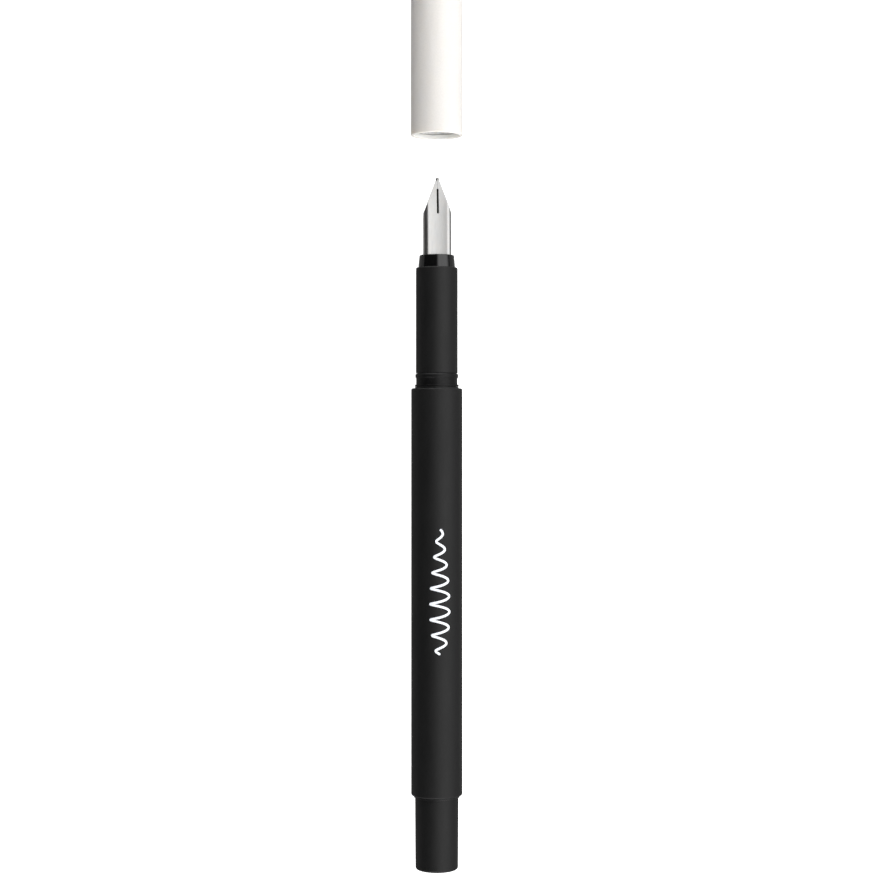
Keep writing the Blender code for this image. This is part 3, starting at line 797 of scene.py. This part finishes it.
def stroke_tree():
    """A waving ribbon of even width with round ends, wrapped on a cylinder about the pen's axis."""
    tree, given = new_tree(
        "printed_stroke",
        {
            "Start": 0.0,
            "Reach": 24.8 * MM,
            "Waves": 6.0,
            "Swing": 1.95 * MM,
            "Width": 0.46 * MM,
            "Film": 0.016 * MM,
            "Radius": 5.11 * MM,
            "Turn": 0.0,
            "Steps": 1400,
            "Material": None,
        },
    )
    ends = {"Start": (0.0, 0.0, 0.0), "End": vector(tree, given["Reach"])}
    line = add(tree, "GeometryNodeCurvePrimitiveLine", ends)
    dots = {"Curve": line.outputs[0], "Count": given["Steps"]}
    fine = add(tree, "GeometryNodeResampleCurve", dots)
    share = add(tree, "GeometryNodeSplineParameter").outputs["Factor"]
    phase = maths(tree, "MULTIPLY", maths(tree, "MULTIPLY", share, given["Waves"]), 2 * math.pi)
    # The waves grow towards the first third of the stroke and then die down evenly.
    early = maths(tree, "POWER", share, STROKE_EARLY)
    swell = maths(tree, "SINE", maths(tree, "MULTIPLY", early, math.pi))
    swell = ranged(tree, swell, 0.0, 1.0, STROKE_LEAST, 1.0, "LINEAR")
    height = maths(tree, "MULTIPLY", swell, given["Swing"])
    wave = maths(tree, "MULTIPLY", maths(tree, "SINE", phase), height)
    slant = maths(tree, "MULTIPLY", swell, STROKE_LEAN)
    lean = maths(tree, "MULTIPLY", maths(tree, "COSINE", phase), slant)
    shifts = {"Geometry": fine.outputs[0], "Offset": vector(tree, lean, wave, 0.0)}
    waved = add(tree, "GeometryNodeSetPosition", shifts)
    band = {"Width": given["Width"], "Height": given["Film"]}
    profile = add(tree, "GeometryNodeCurvePrimitiveQuadrilateral", band, mode="RECTANGLE")
    spline = add(tree, "GeometryNodeSplineParameter")
    total = add(tree, "GeometryNodeSplineLength").outputs["Length"]
    remaining = maths(tree, "SUBTRACT", total, spline.outputs["Length"])
    end_gap = maths(tree, "MINIMUM", spline.outputs["Length"], remaining)
    inside = maths(tree, "DIVIDE", end_gap, maths(tree, "DIVIDE", given["Width"], 2.0))
    short = maths(tree, "SUBTRACT", 1.0, maths(tree, "MINIMUM", inside, 1.0))
    square = maths(tree, "MULTIPLY", short, short)
    size = maths(tree, "SQRT", maths(tree, "SUBTRACT", 1.0 + STROKE_BLUNT, square))
    ribbon = swept(tree, waved, profile, size)
    flat = add(tree, "GeometryNodeInputPosition").outputs[0]
    place = add(tree, "ShaderNodeSeparateXYZ", {0: flat}).outputs
    angle = maths(tree, "ADD", maths(tree, "DIVIDE", place["Y"], given["Radius"]), given["Turn"])
    radius = maths(tree, "ADD", given["Radius"], place["Z"])
    spot = vector(
        tree,
        maths(tree, "ADD", place["X"], given["Start"]),
        maths(tree, "MULTIPLY", radius, maths(tree, "SINE", angle)),
        maths(tree, "MULTIPLY_ADD", radius, maths(tree, "COSINE", angle), AXIS_Z),
    )
    wrapped = add(tree, "GeometryNodeSetPosition", {"Geometry": ribbon, "Position": spot})
    end_tree(tree, wrapped.outputs[0], given["Material"])
    return tree


def thread_mesh(name, root_radius, crest_radius, phase):
    sizes = bpy.context.scene.pen_sizes
    tree = bpy.data.node_groups.get("thread_ridge") or ridge_tree()
    start = MOUTH_X + THREAD_START + sizes.thread_pitch * (phase - 0.5 / FACETS)
    values = {
        "Pitch": sizes.thread_pitch,
        "Start": start,
        "Root Radius": root_radius,
        "Crest Radius": crest_radius,
        "Material": look_for("plain_black"),
    }
    return grown_mesh(name, tree, values)


# ---------------------------------------------------------------- nib and feed


def nib_top(along):
    """Height of the nib's top over the axis. It bows down towards the point."""
    share = max(0.0, (along - NIB_DROP_START) / (NIB_FRONT - NIB_DROP_START))
    return NIB_TOP - NIB_DROP * share**NIB_DROP_POWER


def nib_half_width(along):
    """The nib keeps its full width to the shoulders, and then narrows evenly to the point."""
    full = NIB_FLAT + NIB_BEND
    share = max(0.0, (along - NIB_SHOULDER) / (NIB_FRONT - NIB_SHOULDER))
    return full + (NIB_POINT_HALF_WIDTH - full) * share


def nib_half_run(along):
    """Distance across the sheet, from its middle line over the bend to the edge of its wing."""
    if along >= NIB_SHOULDER:
        over_bend = nib_half_width(along) - NIB_FLAT
        if over_bend <= 0.0:
            return nib_half_width(along)
        return NIB_FLAT + NIB_BEND * math.asin(min(1.0, over_bend / NIB_BEND))
    wing = min(1.0, (NIB_SHOULDER - along) / NIB_SHOULDER_SLOPE)
    return NIB_FLAT + NIB_BEND * math.pi / 2 + NIB_WALL * wing


def nib_point(along, run, hollow):
    """A point of the nib's outer face, run across it from the middle line."""
    side = math.copysign(1.0, run)
    run = abs(run)
    top = nib_top(along)
    if run <= NIB_FLAT:
        # The hollow fades out towards the point, where the tines are flat.
        fade = min(1.0, max(0.0, (NIB_FRONT - along) / (NIB_FRONT - NIB_SHOULDER)))
        return (along, side * run, top - hollow * fade * (1.0 - (run / NIB_FLAT) ** 2))
    turn = min((run - NIB_FLAT) / NIB_BEND, math.pi / 2)
    down = run - NIB_FLAT - NIB_BEND * turn
    across = NIB_FLAT + NIB_BEND * math.sin(turn)
    return (along, side * across, top - NIB_BEND + NIB_BEND * math.cos(turn) - down)


def slit_half_width(along):
    """Half the gap between the tines: a slot with round ends, then a hairline to the point."""
    if along <= SLIT_BACK:
        return 0.0
    depth = min(along - SLIT_BACK, SLIT_FRONT - along, SLIT_HALF_WIDTH)
    if depth <= 0.0:
        return HAIRLINE
    slot = math.sqrt(SLIT_HALF_WIDTH**2 - (SLIT_HALF_WIDTH - depth) ** 2)
    return max(slot, HAIRLINE) if along > SLIT_BACK + SLIT_HALF_WIDTH else slot


def spaced(start, end, steps):
    """Evenly spaced places after start, the last of them at end."""
    return [start + (end - start) * step / steps for step in range(1, steps + 1)]


def nib_stations():
    """Places along the nib, close together where its outline turns."""
    turns = [step * math.pi / 2 / SLOT_STEPS for step in range(SLOT_STEPS + 1)]
    arc = [SLIT_HALF_WIDTH * (1 - math.cos(turn)) for turn in turns]
    places = [NIB_BACK, NIB_SHOULDER - NIB_SHOULDER_SLOPE]
    places += spaced(NIB_BACK, NIB_DROP_START, NIB_BACK_STEPS)
    places += spaced(NIB_DROP_START, NIB_SHOULDER, NIB_MIDDLE_STEPS)
    places += spaced(NIB_SHOULDER, NIB_FRONT, NIB_FRONT_STEPS)
    places += [SLIT_BACK + depth for depth in arc] + [SLIT_FRONT - depth for depth in arc]
    places.sort()
    kept = places[:1]
    for place in places[1:]:
        if place - kept[-1] > NIB_CLOSEST:
            kept.append(place)
    return kept


def nib_mesh(sizes):
    """The nib's bent sheet, split by the slit, with its thickness and softened edges."""
    shape = bmesh.new()
    for side in (-1.0, 1.0):
        rows = []
        for along in nib_stations():
            inner = slit_half_width(along)
            outer = nib_half_run(along)
            row = []
            for step in range(NIB_HALF_STEPS + 1):
                run = inner + (outer - inner) * step / NIB_HALF_STEPS
                row.append(shape.verts.new(nib_point(along, side * run, sizes.nib_hollow)))
            rows.append(row)
        for near, far in zip(rows, rows[1:]):
            for index in range(NIB_HALF_STEPS):
                corners = (near[index], near[index + 1], far[index + 1], far[index])
                shape.faces.new(corners if side > 0 else corners[::-1])
    bmesh.ops.remove_doubles(shape, verts=shape.verts, dist=1e-7)
    bmesh.ops.recalc_face_normals(shape, faces=shape.faces)
    top = max(shape.faces, key=lambda face: face.calc_center_median().z)
    if top.normal.z < 0.0:
        bmesh.ops.reverse_faces(shape, faces=shape.faces)
    sheet = bpy.data.meshes.new("nib_sheet")
    shape.to_mesh(sheet)
    shape.free()
    mesh = finished_mesh(
        "nib_blade",
        sheet,
        ("SOLIDIFY", {"thickness": sizes.nib_sheet, "offset": -1.0}),
        ("BEVEL", {"width": NIB_SOFT_EDGE, "segments": 2, "limit_method": "ANGLE", "angle_limit": 0.9}),
    )
    mesh.shade_smooth()
    mesh.set_sharp_from_angle(angle=SHARP)
    return on_section(mesh)


def on_section(mesh):
    """Puts a mesh made round the nib's own axis where the nib is, with its roll."""
    mesh.transform(Matrix.Translation((MOUTH_X, 0.0, AXIS_Z)) @ Matrix.Rotation(NIB_ROLL, 4, "X"))
    return mesh


def point_mesh(sizes):
    """The hard writing point: a drop welded to the tines, split like them by the hairline."""
    radius = (high_of("nib_tipping").x - low_of("nib_tipping").x) / 2
    front = high_of("nib_tipping").x - MOUTH_X
    back = NIB_FRONT - radius / 3
    shape = bmesh.new()
    for side in (-1.0, 1.0):
        half = bmesh.new()
        bmesh.ops.create_uvsphere(half, radius=radius, **BALL_SEGMENTS)
        everything = half.verts[:] + half.edges[:] + half.faces[:]
        bmesh.ops.bisect_plane(
            half, geom=everything, plane_co=(0, 0, 0), plane_no=(0, -side, 0), clear_outer=True
        )
        bmesh.ops.holes_fill(half, edges=[edge for edge in half.edges if edge.is_boundary])
        for vert in half.verts:
            # A drop: the back half draws out to the tines.
            vert.co.x *= 1.0 if vert.co.x > 0.0 else (front - radius - back) / radius
            vert.co.y += side * HAIRLINE
        part = bpy.data.meshes.new("half_point")
        half.to_mesh(part)
        half.free()
        shape.from_mesh(part)
        bpy.data.meshes.remove(part)
    mesh = mesh_of(shape, "nib_point")
    height = nib_top(NIB_FRONT) - sizes.nib_sheet / 2
    mesh.transform(Matrix.Translation((front - radius, 0.0, height)))
    return on_section(mesh)


def feed_outline(along, half_width, low, belly, top, chamfer):
    """The feed, cut across the axis: a flat top under the nib, straight sides and a round belly."""
    points = [
        (along, half_width, low),
        (along, half_width, top - chamfer),
        (along, half_width - chamfer, top),
        (along, chamfer - half_width, top),
        (along, -half_width, top - chamfer),
        (along, -half_width, low),
    ]
    for step in range(1, FEED_ARC_STEPS):
        angle = math.pi * step / FEED_ARC_STEPS
        points.append((along, -half_width * math.cos(angle), low - belly * math.sin(angle)))
    return points


def feed_section(along, cored):
    """The feed's outline at a place along it, at full depth or at the core between its fins."""
    share = max(0.0, (along - FEED_TAPER_START) / (FEED_FRONT - FEED_TAPER_START))
    sheet = bpy.context.scene.pen_sizes.nib_sheet
    hollow = bpy.context.scene.pen_sizes.nib_hollow
    top = nib_top(along) - sheet - FEED_GAP - hollow
    half_width = min(FEED_HALF_WIDTH, nib_half_width(along) * FEED_WIDTH_SHARE)
    belly = (FEED_BELLY + FEED_SIDE_LOW) * (1.0 - share) + FEED_FRONT_DEPTH * share
    if cored:
        half_width = FEED_CORE_WIDTH
        belly = FEED_CORE_DEPTH + FEED_SIDE_LOW
    chamfer = min(FEED_CHAMFER, half_width / 3)
    side_height = top - chamfer - FEED_SIDE_LOW
    low = top - chamfer - side_height * (1.0 - FEED_SIDE_TAPER * share)
    return feed_outline(along, half_width, low, belly, top, chamfer)


def feed_mesh(sizes):
    """The feed: a shaft with its nipple, a body under the nib, and a comb of fins in its belly."""
    seat = low_of("feed").x - MOUTH_X
    bore = 0.45 * MM
    shaft = 1.48 * MM
    shaft_end = 17.50 * MM
    shoulder = -0.20 * MM
    rear = turned_mesh(
        "feed_shaft",
        [
            (seat, bore, 0.0),
            (seat, 1.00 * MM, EDGE),
            (shoulder, 1.20 * MM, 0.0),
            (shoulder, shaft, EDGE),
            (shaft_end, shaft, 0.0),
            (shaft_end, bore, 0.0),
        ],
        MOUTH_X,
        SMALL_ROUND_STEPS,
    )
    body = [feed_section(FEED_BODY_BACK, False)]
    body += [feed_section(COMB_BACK, False), feed_section(COMB_BACK, True)]
    body += [feed_section(COMB_FRONT, True), feed_section(COMB_FRONT, False)]
    body += [feed_section(along, False) for along in spaced(COMB_FRONT, FEED_FRONT, FEED_FRONT_STEPS)]
    front = on_section(lofted_mesh("feed_body", body))
    values = {
        "Count": sizes.fin_count,
        "Pitch": sizes.fin_pitch,
        "First": COMB_FIRST,
        "Thickness": sizes.fin_thickness,
        "Half Width": FEED_HALF_WIDTH,
        "Depth": FEED_BELLY + FEED_SIDE_LOW,
        "Height": FEED_SIDE_LOW,
        "Material": look_for("plain_black"),
    }
    fins = grown_mesh("fins", bpy.data.node_groups.get("feed_fins") or fin_tree(), values)
    return joined_mesh("ink_feed", [rear, front, on_section(fins)])


# ---------------------------------------------------------------- operators


class PEN_OT_add_barrel(bpy.types.Operator):
    """Add the barrel, its tail and the thin band between them"""

    bl_idname = "pen.add_barrel"
    bl_label = "Barrel"

    def execute(self, context):
        sizes = context.scene.pen_sizes
        tube = [
            (BARREL_END_X, sizes.barrel_radius, sizes.barrel_edge),
            (MOUTH_X, sizes.barrel_radius, sizes.barrel_edge),
            (MOUTH_X, sizes.barrel_bore, EDGE),
            (BARREL_END_X, sizes.barrel_bore, 0.0),
        ]
        turn_in_place("barrel_tube", tube)
        ledge = BARREL_END_X - TAIL_X
        root = 4.33 * MM
        spigot = radius_of("barrel_tail_plug")
        spigot_end = high_of("barrel_tail_plug").x - TAIL_X
        bore = 3.85 * MM
        floor = 1.6 * MM
        step = 0.40 * MM
        tail = [
            (0.0, 0.0, 0.0),
            (0.0, sizes.tail_radius, sizes.tail_edge),
            (ledge - step, root, 0.0),
            (ledge + step, root, 0.0),
            (ledge + 2 * step, spigot, 0.0),
            (spigot_end, spigot, EDGE),
            (spigot_end, bore, EDGE),
            (floor, bore, 0.30 * MM),
            (floor, 0.0, 0.0),
        ]
        turn_in_place("tail_end", tail, TAIL_X)
        back, front = low_of("tail_ring").x, high_of("tail_ring").x
        outer = radius_of("tail_ring")
        inner = 4.39 * MM
        band = [(back, inner, 0.0), (back, outer, EDGE), (front, outer, EDGE), (front, inner, 0.0)]
        turn_in_place("tail_band", band)
        return {"FINISHED"}


class PEN_OT_add_thread_sleeve(bpy.types.Operator):
    """Add the threaded sleeve in the mouth of the barrel"""

    bl_idname = "pen.add_thread_sleeve"
    bl_label = "Thread sleeve"

    def execute(self, context):
        back = low_of("barrel_thread_bush").x
        front = high_of("barrel_thread_bush").x
        outer = radius_of("barrel_thread_bush")
        sleeve = [
            (back, outer, EDGE),
            (front, outer, EDGE),
            (front, FEMALE_ROOT_R, EDGE),
            (back, FEMALE_ROOT_R, EDGE),
        ]
        ridge = thread_mesh("inner_ridge", FEMALE_ROOT_R, FEMALE_CREST_R, FEMALE_PHASE)
        set_in_place("thread_sleeve", joined_mesh("thread_sleeve", [turned_mesh("sleeve", sleeve), ridge]))
        return {"FINISHED"}


class PEN_OT_add_stroke(bpy.types.Operator):
    """Print a plain waving stroke along the top of the barrel"""

    bl_idname = "pen.add_stroke"
    bl_label = "Printed stroke"

    def execute(self, context):
        stroke = context.scene.pen_stroke
        tree = bpy.data.node_groups.get("printed_stroke") or stroke_tree()
        values = {
            "Start": TAIL_X + stroke.start,
            "Reach": stroke.reach,
            "Waves": stroke.waves,
            "Swing": stroke.swing,
            "Width": stroke.width,
            "Film": stroke.film,
            "Radius": context.scene.pen_sizes.barrel_radius,
            "Turn": stroke.turn,
            "Material": look_for("print_white"),
        }
        set_in_place("barrel_stroke", grown_mesh("barrel_stroke", tree, values))
        return {"FINISHED"}


class PEN_OT_add_seal(bpy.types.Operator):
    """Add the seal ring between the barrel and the section"""

    bl_idname = "pen.add_seal"
    bl_label = "Seal ring"

    def execute(self, context):
        back, front = low_of("seal_ring").x, high_of("seal_ring").x
        outer = radius_of("seal_ring")
        inner = 3.95 * MM
        ring = [(back, outer, EDGE), (front, outer, EDGE), (front, inner, EDGE), (back, inner, EDGE)]
        turn_in_place("mouth_seal", ring)
        return {"FINISHED"}


class PEN_OT_add_section(bpy.types.Operator):
    """Add the section's body with its thread, flange, neck and click bead, and the grip over it"""

    bl_idname = "pen.add_section"
    bl_label = "Section and grip"

    def execute(self, context):
        sizes = context.scene.pen_sizes
        back = low_of("section_core").x - MOUTH_X
        front = high_of("section_core").x - MOUTH_X
        flange = radius_of("section_core")
        neck, bead = 4.12 * MM, 4.27 * MM
        flange_back, flange_front = 0.36 * MM, 0.72 * MM
        bead_back, bead_front, bead_edge = 1.95 * MM, 2.95 * MM, 0.25 * MM
        core, housing = 3.82 * MM, 3.50 * MM
        shaft, cartridge = 1.60 * MM, 3.12 * MM
        housing_back, seat = 11.00 * MM, -0.60 * MM
        body = [
            (back, MALE_ROOT_R, EDGE),
            (flange_back, MALE_ROOT_R, 0.0),
            (flange_back, flange, EDGE),
            (flange_front, flange, EDGE),
            (flange_front, neck, 0.0),
            (bead_back, neck, 0.0),
            (bead_back + bead_edge, bead, bead_edge / 2),
            (bead_front - bead_edge, bead, bead_edge / 2),
            (bead_front, neck, 0.0),
            (bead_front, core, 0.0),
            (front, core, EDGE),
            (front, housing, 0.0),
            (housing_back, housing, 0.0),
            (housing_back, shaft, 0.0),
            (seat, shaft, 0.0),
            (seat, cartridge, 0.0),
            (back, cartridge, EDGE),
        ]
        ridge = thread_mesh("outer_ridge", MALE_ROOT_R, MALE_CREST_R, 0.0)
        mesh = joined_mesh("section_body", [turned_mesh("body", body, MOUTH_X), ridge])
        set_in_place("section_body", mesh)
        back = low_of("grip_sleeve").x
        front = high_of("grip_sleeve").x
        bore, lip, lip_length = 3.90 * MM, 3.76 * MM, 0.75 * MM
        sleeve = [
            (back, sizes.grip_radius, EDGE),
            (front, sizes.grip_radius, sizes.grip_edge),
            (front, lip, EDGE),
            (front - lip_length, lip, 0.0),
            (front - lip_length, bore, 0.0),
            (back, bore, 0.0),
        ]
        turn_in_place("grip", sleeve)
        return {"FINISHED"}


class PEN_OT_add_collar(bpy.types.Operator):
    """Add the gloss black housing whose collar holds the nib and the feed"""

    bl_idname = "pen.add_collar"
    bl_label = "Nib collar"

    def execute(self, context):
        back = low_of("nib_housing").x - MOUTH_X
        front = high_of("nib_housing").x - MOUTH_X
        collar, collar_front = radius_of("nib_housing"), 3.46 * MM
        barrel, bore, shaft = 3.42 * MM, 3.10 * MM, 1.60 * MM
        collar_back, grip_front, step = 23.45 * MM, 24.15 * MM, 16.10 * MM
        housing = [
            (back, barrel, EDGE),
            (collar_back, barrel, 0.0),
            (collar_back, collar, EDGE),
            (grip_front, collar, 0.0),
            (front, collar_front, 0.16 * MM),
            (front, bore, EDGE),
            (step, bore, 0.0),
            (step, shaft, 0.0),
            (back, shaft, EDGE),
        ]
        turn_in_place("nib_collar", housing, MOUTH_X)
        return {"FINISHED"}


class PEN_OT_add_nib(bpy.types.Operator):
    """Add the steel nib and the hard point welded to its tines"""

    bl_idname = "pen.add_nib"
    bl_label = "Nib"

    def execute(self, context):
        sizes = context.scene.pen_sizes
        set_in_place("nib_blade", nib_mesh(sizes))
        set_in_place("nib_point", point_mesh(sizes))
        return {"FINISHED"}


class PEN_OT_add_feed(bpy.types.Operator):
    """Add the black feed under the nib, with its comb of fins"""

    bl_idname = "pen.add_feed"
    bl_label = "Feed"

    def execute(self, context):
        set_in_place("ink_feed", feed_mesh(context.scene.pen_sizes))
        return {"FINISHED"}


class PEN_OT_add_cap(bpy.types.Operator):
    """Add the cap: its white tube, the cream inner cap and the crown that closes it"""

    bl_idname = "pen.add_cap"
    bl_label = "Cap"

    def execute(self, context):
        sizes = context.scene.pen_sizes
        seam = high_of("cap_shell").x - CAP_X
        bore, lip = 4.78 * MM, 0.90 * MM
        tube = [
            (0.0, sizes.cap_lip, sizes.cap_edge / 2),
            (0.0, sizes.cap_radius, sizes.cap_edge),
            (seam, sizes.cap_radius, EDGE),
            (seam, bore, 0.0),
            (lip, bore, 0.0),
            (lip, sizes.cap_lip, 0.0),
        ]
        turn_in_place("cap_tube", tube, CAP_X)
        back = low_of("cap_liner").x - CAP_X
        front = high_of("cap_liner").x - CAP_X
        outer = radius_of("cap_liner")
        inner, click, chamber = 4.46 * MM, 4.36 * MM, 3.90 * MM
        click_back, click_front, step = 3.00 * MM, 3.60 * MM, 24.40 * MM
        floor = front - 1.0 * MM
        liner = [
            (back, outer, EDGE),
            (front, outer, EDGE),
            (front, 0.0, 0.0),
            (floor, 0.0, 0.0),
            (floor, chamber, 1.0 * MM),
            (step, chamber, 0.0),
            (step - (inner - chamber), inner, 0.0),
            (click_front + (inner - click), inner, 0.0),
            (click_front, click, 0.0),
            (click_back, click, 0.0),
            (click_back - (inner - click), inner, 0.0),
            (back, inner, EDGE),
        ]
        turn_in_place("inner_cap", liner, CAP_X)
        spigot_back = low_of("cap_top_plug").x - CAP_X
        top = CAP_TOP_X - CAP_X
        spigot, gap = 4.70 * MM, 0.05 * MM
        crown = [
            (spigot_back, 0.0, 0.0),
            (spigot_back, spigot, EDGE),
            (seam + gap, spigot, 0.0),
            (seam + gap, sizes.cap_radius, EDGE),
            (top, sizes.cap_radius, sizes.crown_edge),
            (top, 0.0, 0.0),
        ]
        turn_in_place("cap_crown", crown, CAP_X)
        return {"FINISHED"}


class PEN_OT_add_cartridges(bpy.types.Operator):
    """Add the ink cartridge in use and the spare one behind it"""

    bl_idname = "pen.add_cartridges"
    bl_label = "Ink cartridges"

    def execute(self, context):
        end = high_of("cartridge_shell").x - low_of("cartridge_shell").x
        outer = radius_of("cartridge_shell")
        wall, neck, neck_length, shoulder, mouth = 0.55 * MM, 2.95 * MM, 6.75 * MM, 0.80 * MM, 1.45 * MM
        body = neck_length + shoulder
        bottle = [
            (0.0, mouth, EDGE),
            (0.0, neck, 0.25 * MM),
            (neck_length, neck, 0.15 * MM),
            (body, outer, 0.30 * MM),
            (end, outer, 0.50 * MM),
            (end, 0.0, 0.0),
            (end - wall, 0.0, 0.0),
            (end - wall, outer - wall, 0.20 * MM),
            (body, outer - wall, 0.0),
            (neck_length, mouth, 0.0),
        ]
        reversed_bottle = [(-along, radius, fillet) for along, radius, fillet in bottle]
        turn_in_place("ink_cartridge", reversed_bottle, CARTRIDGE_X, SMALL_ROUND_STEPS)
        turn_in_place("spare_ink_cartridge", bottle, SPARE_X, SMALL_ROUND_STEPS)
        return {"FINISHED"}


class PEN_OT_add_balls(bpy.types.Operator):
    """Add the sealing balls: one freed inside the cartridge in use, one pressed into the spare"""

    bl_idname = "pen.add_balls"
    bl_label = "Sealing balls"

    def execute(self, context):
        for name in ("loose_ball", "pressed_ball"):
            low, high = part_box(PLACES[name][-1])
            shape = bmesh.new()
            bmesh.ops.create_uvsphere(shape, radius=context.scene.pen_sizes.ball_radius, **BALL_SEGMENTS)
            bmesh.ops.translate(shape, vec=(low + high) / 2, verts=shape.verts)
            set_in_place(name, mesh_of(shape, name))
        return {"FINISHED"}


def light_room(settings):
    """A long softbox beside and over the pen, a fill panel at each end, and a white backdrop."""
    world = bpy.data.worlds.new("studio")
    world.use_nodes = True
    tree = world.node_tree
    background = tree.nodes["Background"]
    ray = add(tree, "ShaderNodeSeparateXYZ", {0: add(tree, "ShaderNodeTexCoord").outputs["Generated"]})
    side = maths(tree, "MULTIPLY", ray.outputs["Y"], -1.0)
    angle = maths(tree, "ARCTAN2", side, ray.outputs["Z"])
    near = ranged(tree, angle, *SOFTBOX_RISE, 0.0, 1.0)
    far = ranged(tree, angle, *SOFTBOX_FALL, 1.0, 0.0)
    along = maths(tree, "ABSOLUTE", ray.outputs["X"])
    ends = ranged(tree, along, *SOFTBOX_ENDS, 1.0, 0.0)
    box = maths(tree, "MULTIPLY", maths(tree, "MULTIPLY", near, far), ends)
    lit = maths(tree, "MULTIPLY_ADD", box, settings.box_light, settings.room_light)
    # Two fill panels, past the tail and past the cap, reach the sides that the softbox doesn't.
    panels = ranged(tree, along, *FILL_RISE, 0.0, settings.fill_light)
    lit = maths(tree, "MAXIMUM", lit, panels)
    seen = add(tree, "ShaderNodeLightPath").outputs["Is Camera Ray"]
    strength = add(tree, "ShaderNodeMix", {0: seen, 2: lit, 3: 1.0}, data_type="FLOAT").outputs[0]
    tree.links.new(strength, background.inputs["Strength"])
    background.inputs["Color"].default_value = (1.0, 1.0, 1.0, 1.0)
    bpy.context.scene.world = world


class PEN_OT_add_stage(bpy.types.Operator):
    """Add the pale table, the studio light and the camera straight over the pen"""

    bl_idname = "pen.add_stage"
    bl_label = "Table, light and camera"

    def execute(self, context):
        settings = context.scene.pen_studio
        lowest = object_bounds()[0][2]
        shape = bmesh.new()
        bmesh.ops.create_grid(shape, x_segments=8, y_segments=8, size=TABLE_HALF)
        bmesh.ops.translate(shape, vec=(0.0, 0.0, lowest), verts=shape.verts)
        mesh = bpy.data.meshes.new("table_top")
        shape.to_mesh(mesh)
        shape.free()
        floor = tuple(context.scene.pen_colours.floor)
        mesh.materials.append(table_top("table_top", floor, settings.floor_glow))
        table = bpy.data.objects.new("table_top", mesh)
        context.scene.collection.objects.link(table)
        table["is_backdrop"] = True
        light_room(settings)
        data = bpy.data.cameras.new("pen_camera")
        data.lens = settings.lens
        data.clip_start = NEAREST_SEEN
        camera = bpy.data.objects.new("pen_camera", data)
        camera.location = (settings.camera_x, settings.camera_y, AXIS_Z + settings.camera_height)
        camera.rotation_euler = (0.0, 0.0, -math.pi / 2)
        context.scene.collection.objects.link(camera)
        context.scene.camera = camera
        context.scene.view_settings.view_transform = "Standard"
        return {"FINISHED"}


class PEN_PT_pieces(bpy.types.Panel):
    """The pieces of the pen, each with its own button"""

    bl_idname = "PEN_PT_pieces"
    bl_label = "Fountain pen"
    bl_space_type = "VIEW_3D"
    bl_region_type = "UI"
    bl_category = "Pen"

    def draw(self, context):
        for operator in PIECES:
            self.layout.operator(operator.bl_idname)
        for label, group in (
            ("Sizes", context.scene.pen_sizes),
            ("Stroke", context.scene.pen_stroke),
            ("Colours", context.scene.pen_colours),
            ("Studio", context.scene.pen_studio),
        ):
            box = self.layout.box()
            box.label(text=label)
            for key in group.__annotations__:
                box.prop(group, key)


PIECES = (
    PEN_OT_add_barrel,
    PEN_OT_add_thread_sleeve,
    PEN_OT_add_stroke,
    PEN_OT_add_seal,
    PEN_OT_add_section,
    PEN_OT_add_collar,
    PEN_OT_add_nib,
    PEN_OT_add_feed,
    PEN_OT_add_cap,
    PEN_OT_add_cartridges,
    PEN_OT_add_balls,
    PEN_OT_add_stage,
)
GROUPS = {
    "pen_sizes": PenSizes,
    "pen_stroke": StrokeSizes,
    "pen_colours": PenColours,
    "pen_studio": StudioSettings,
}


def register():
    for group in (*GROUPS.values(), *PIECES, PEN_PT_pieces):
        bpy.utils.register_class(group)
    for key, group in GROUPS.items():
        setattr(bpy.types.Scene, key, PointerProperty(type=group))


def unregister():
    for key in GROUPS:
        delattr(bpy.types.Scene, key)
    for group in (PEN_PT_pieces, *PIECES, *GROUPS.values()):
        bpy.utils.unregister_class(group)


def main():
    register()
    for operator in PIECES:
        family, action = operator.bl_idname.split(".")
        getattr(getattr(bpy.ops, family), action)()


if __name__ == "__main__":
    main()
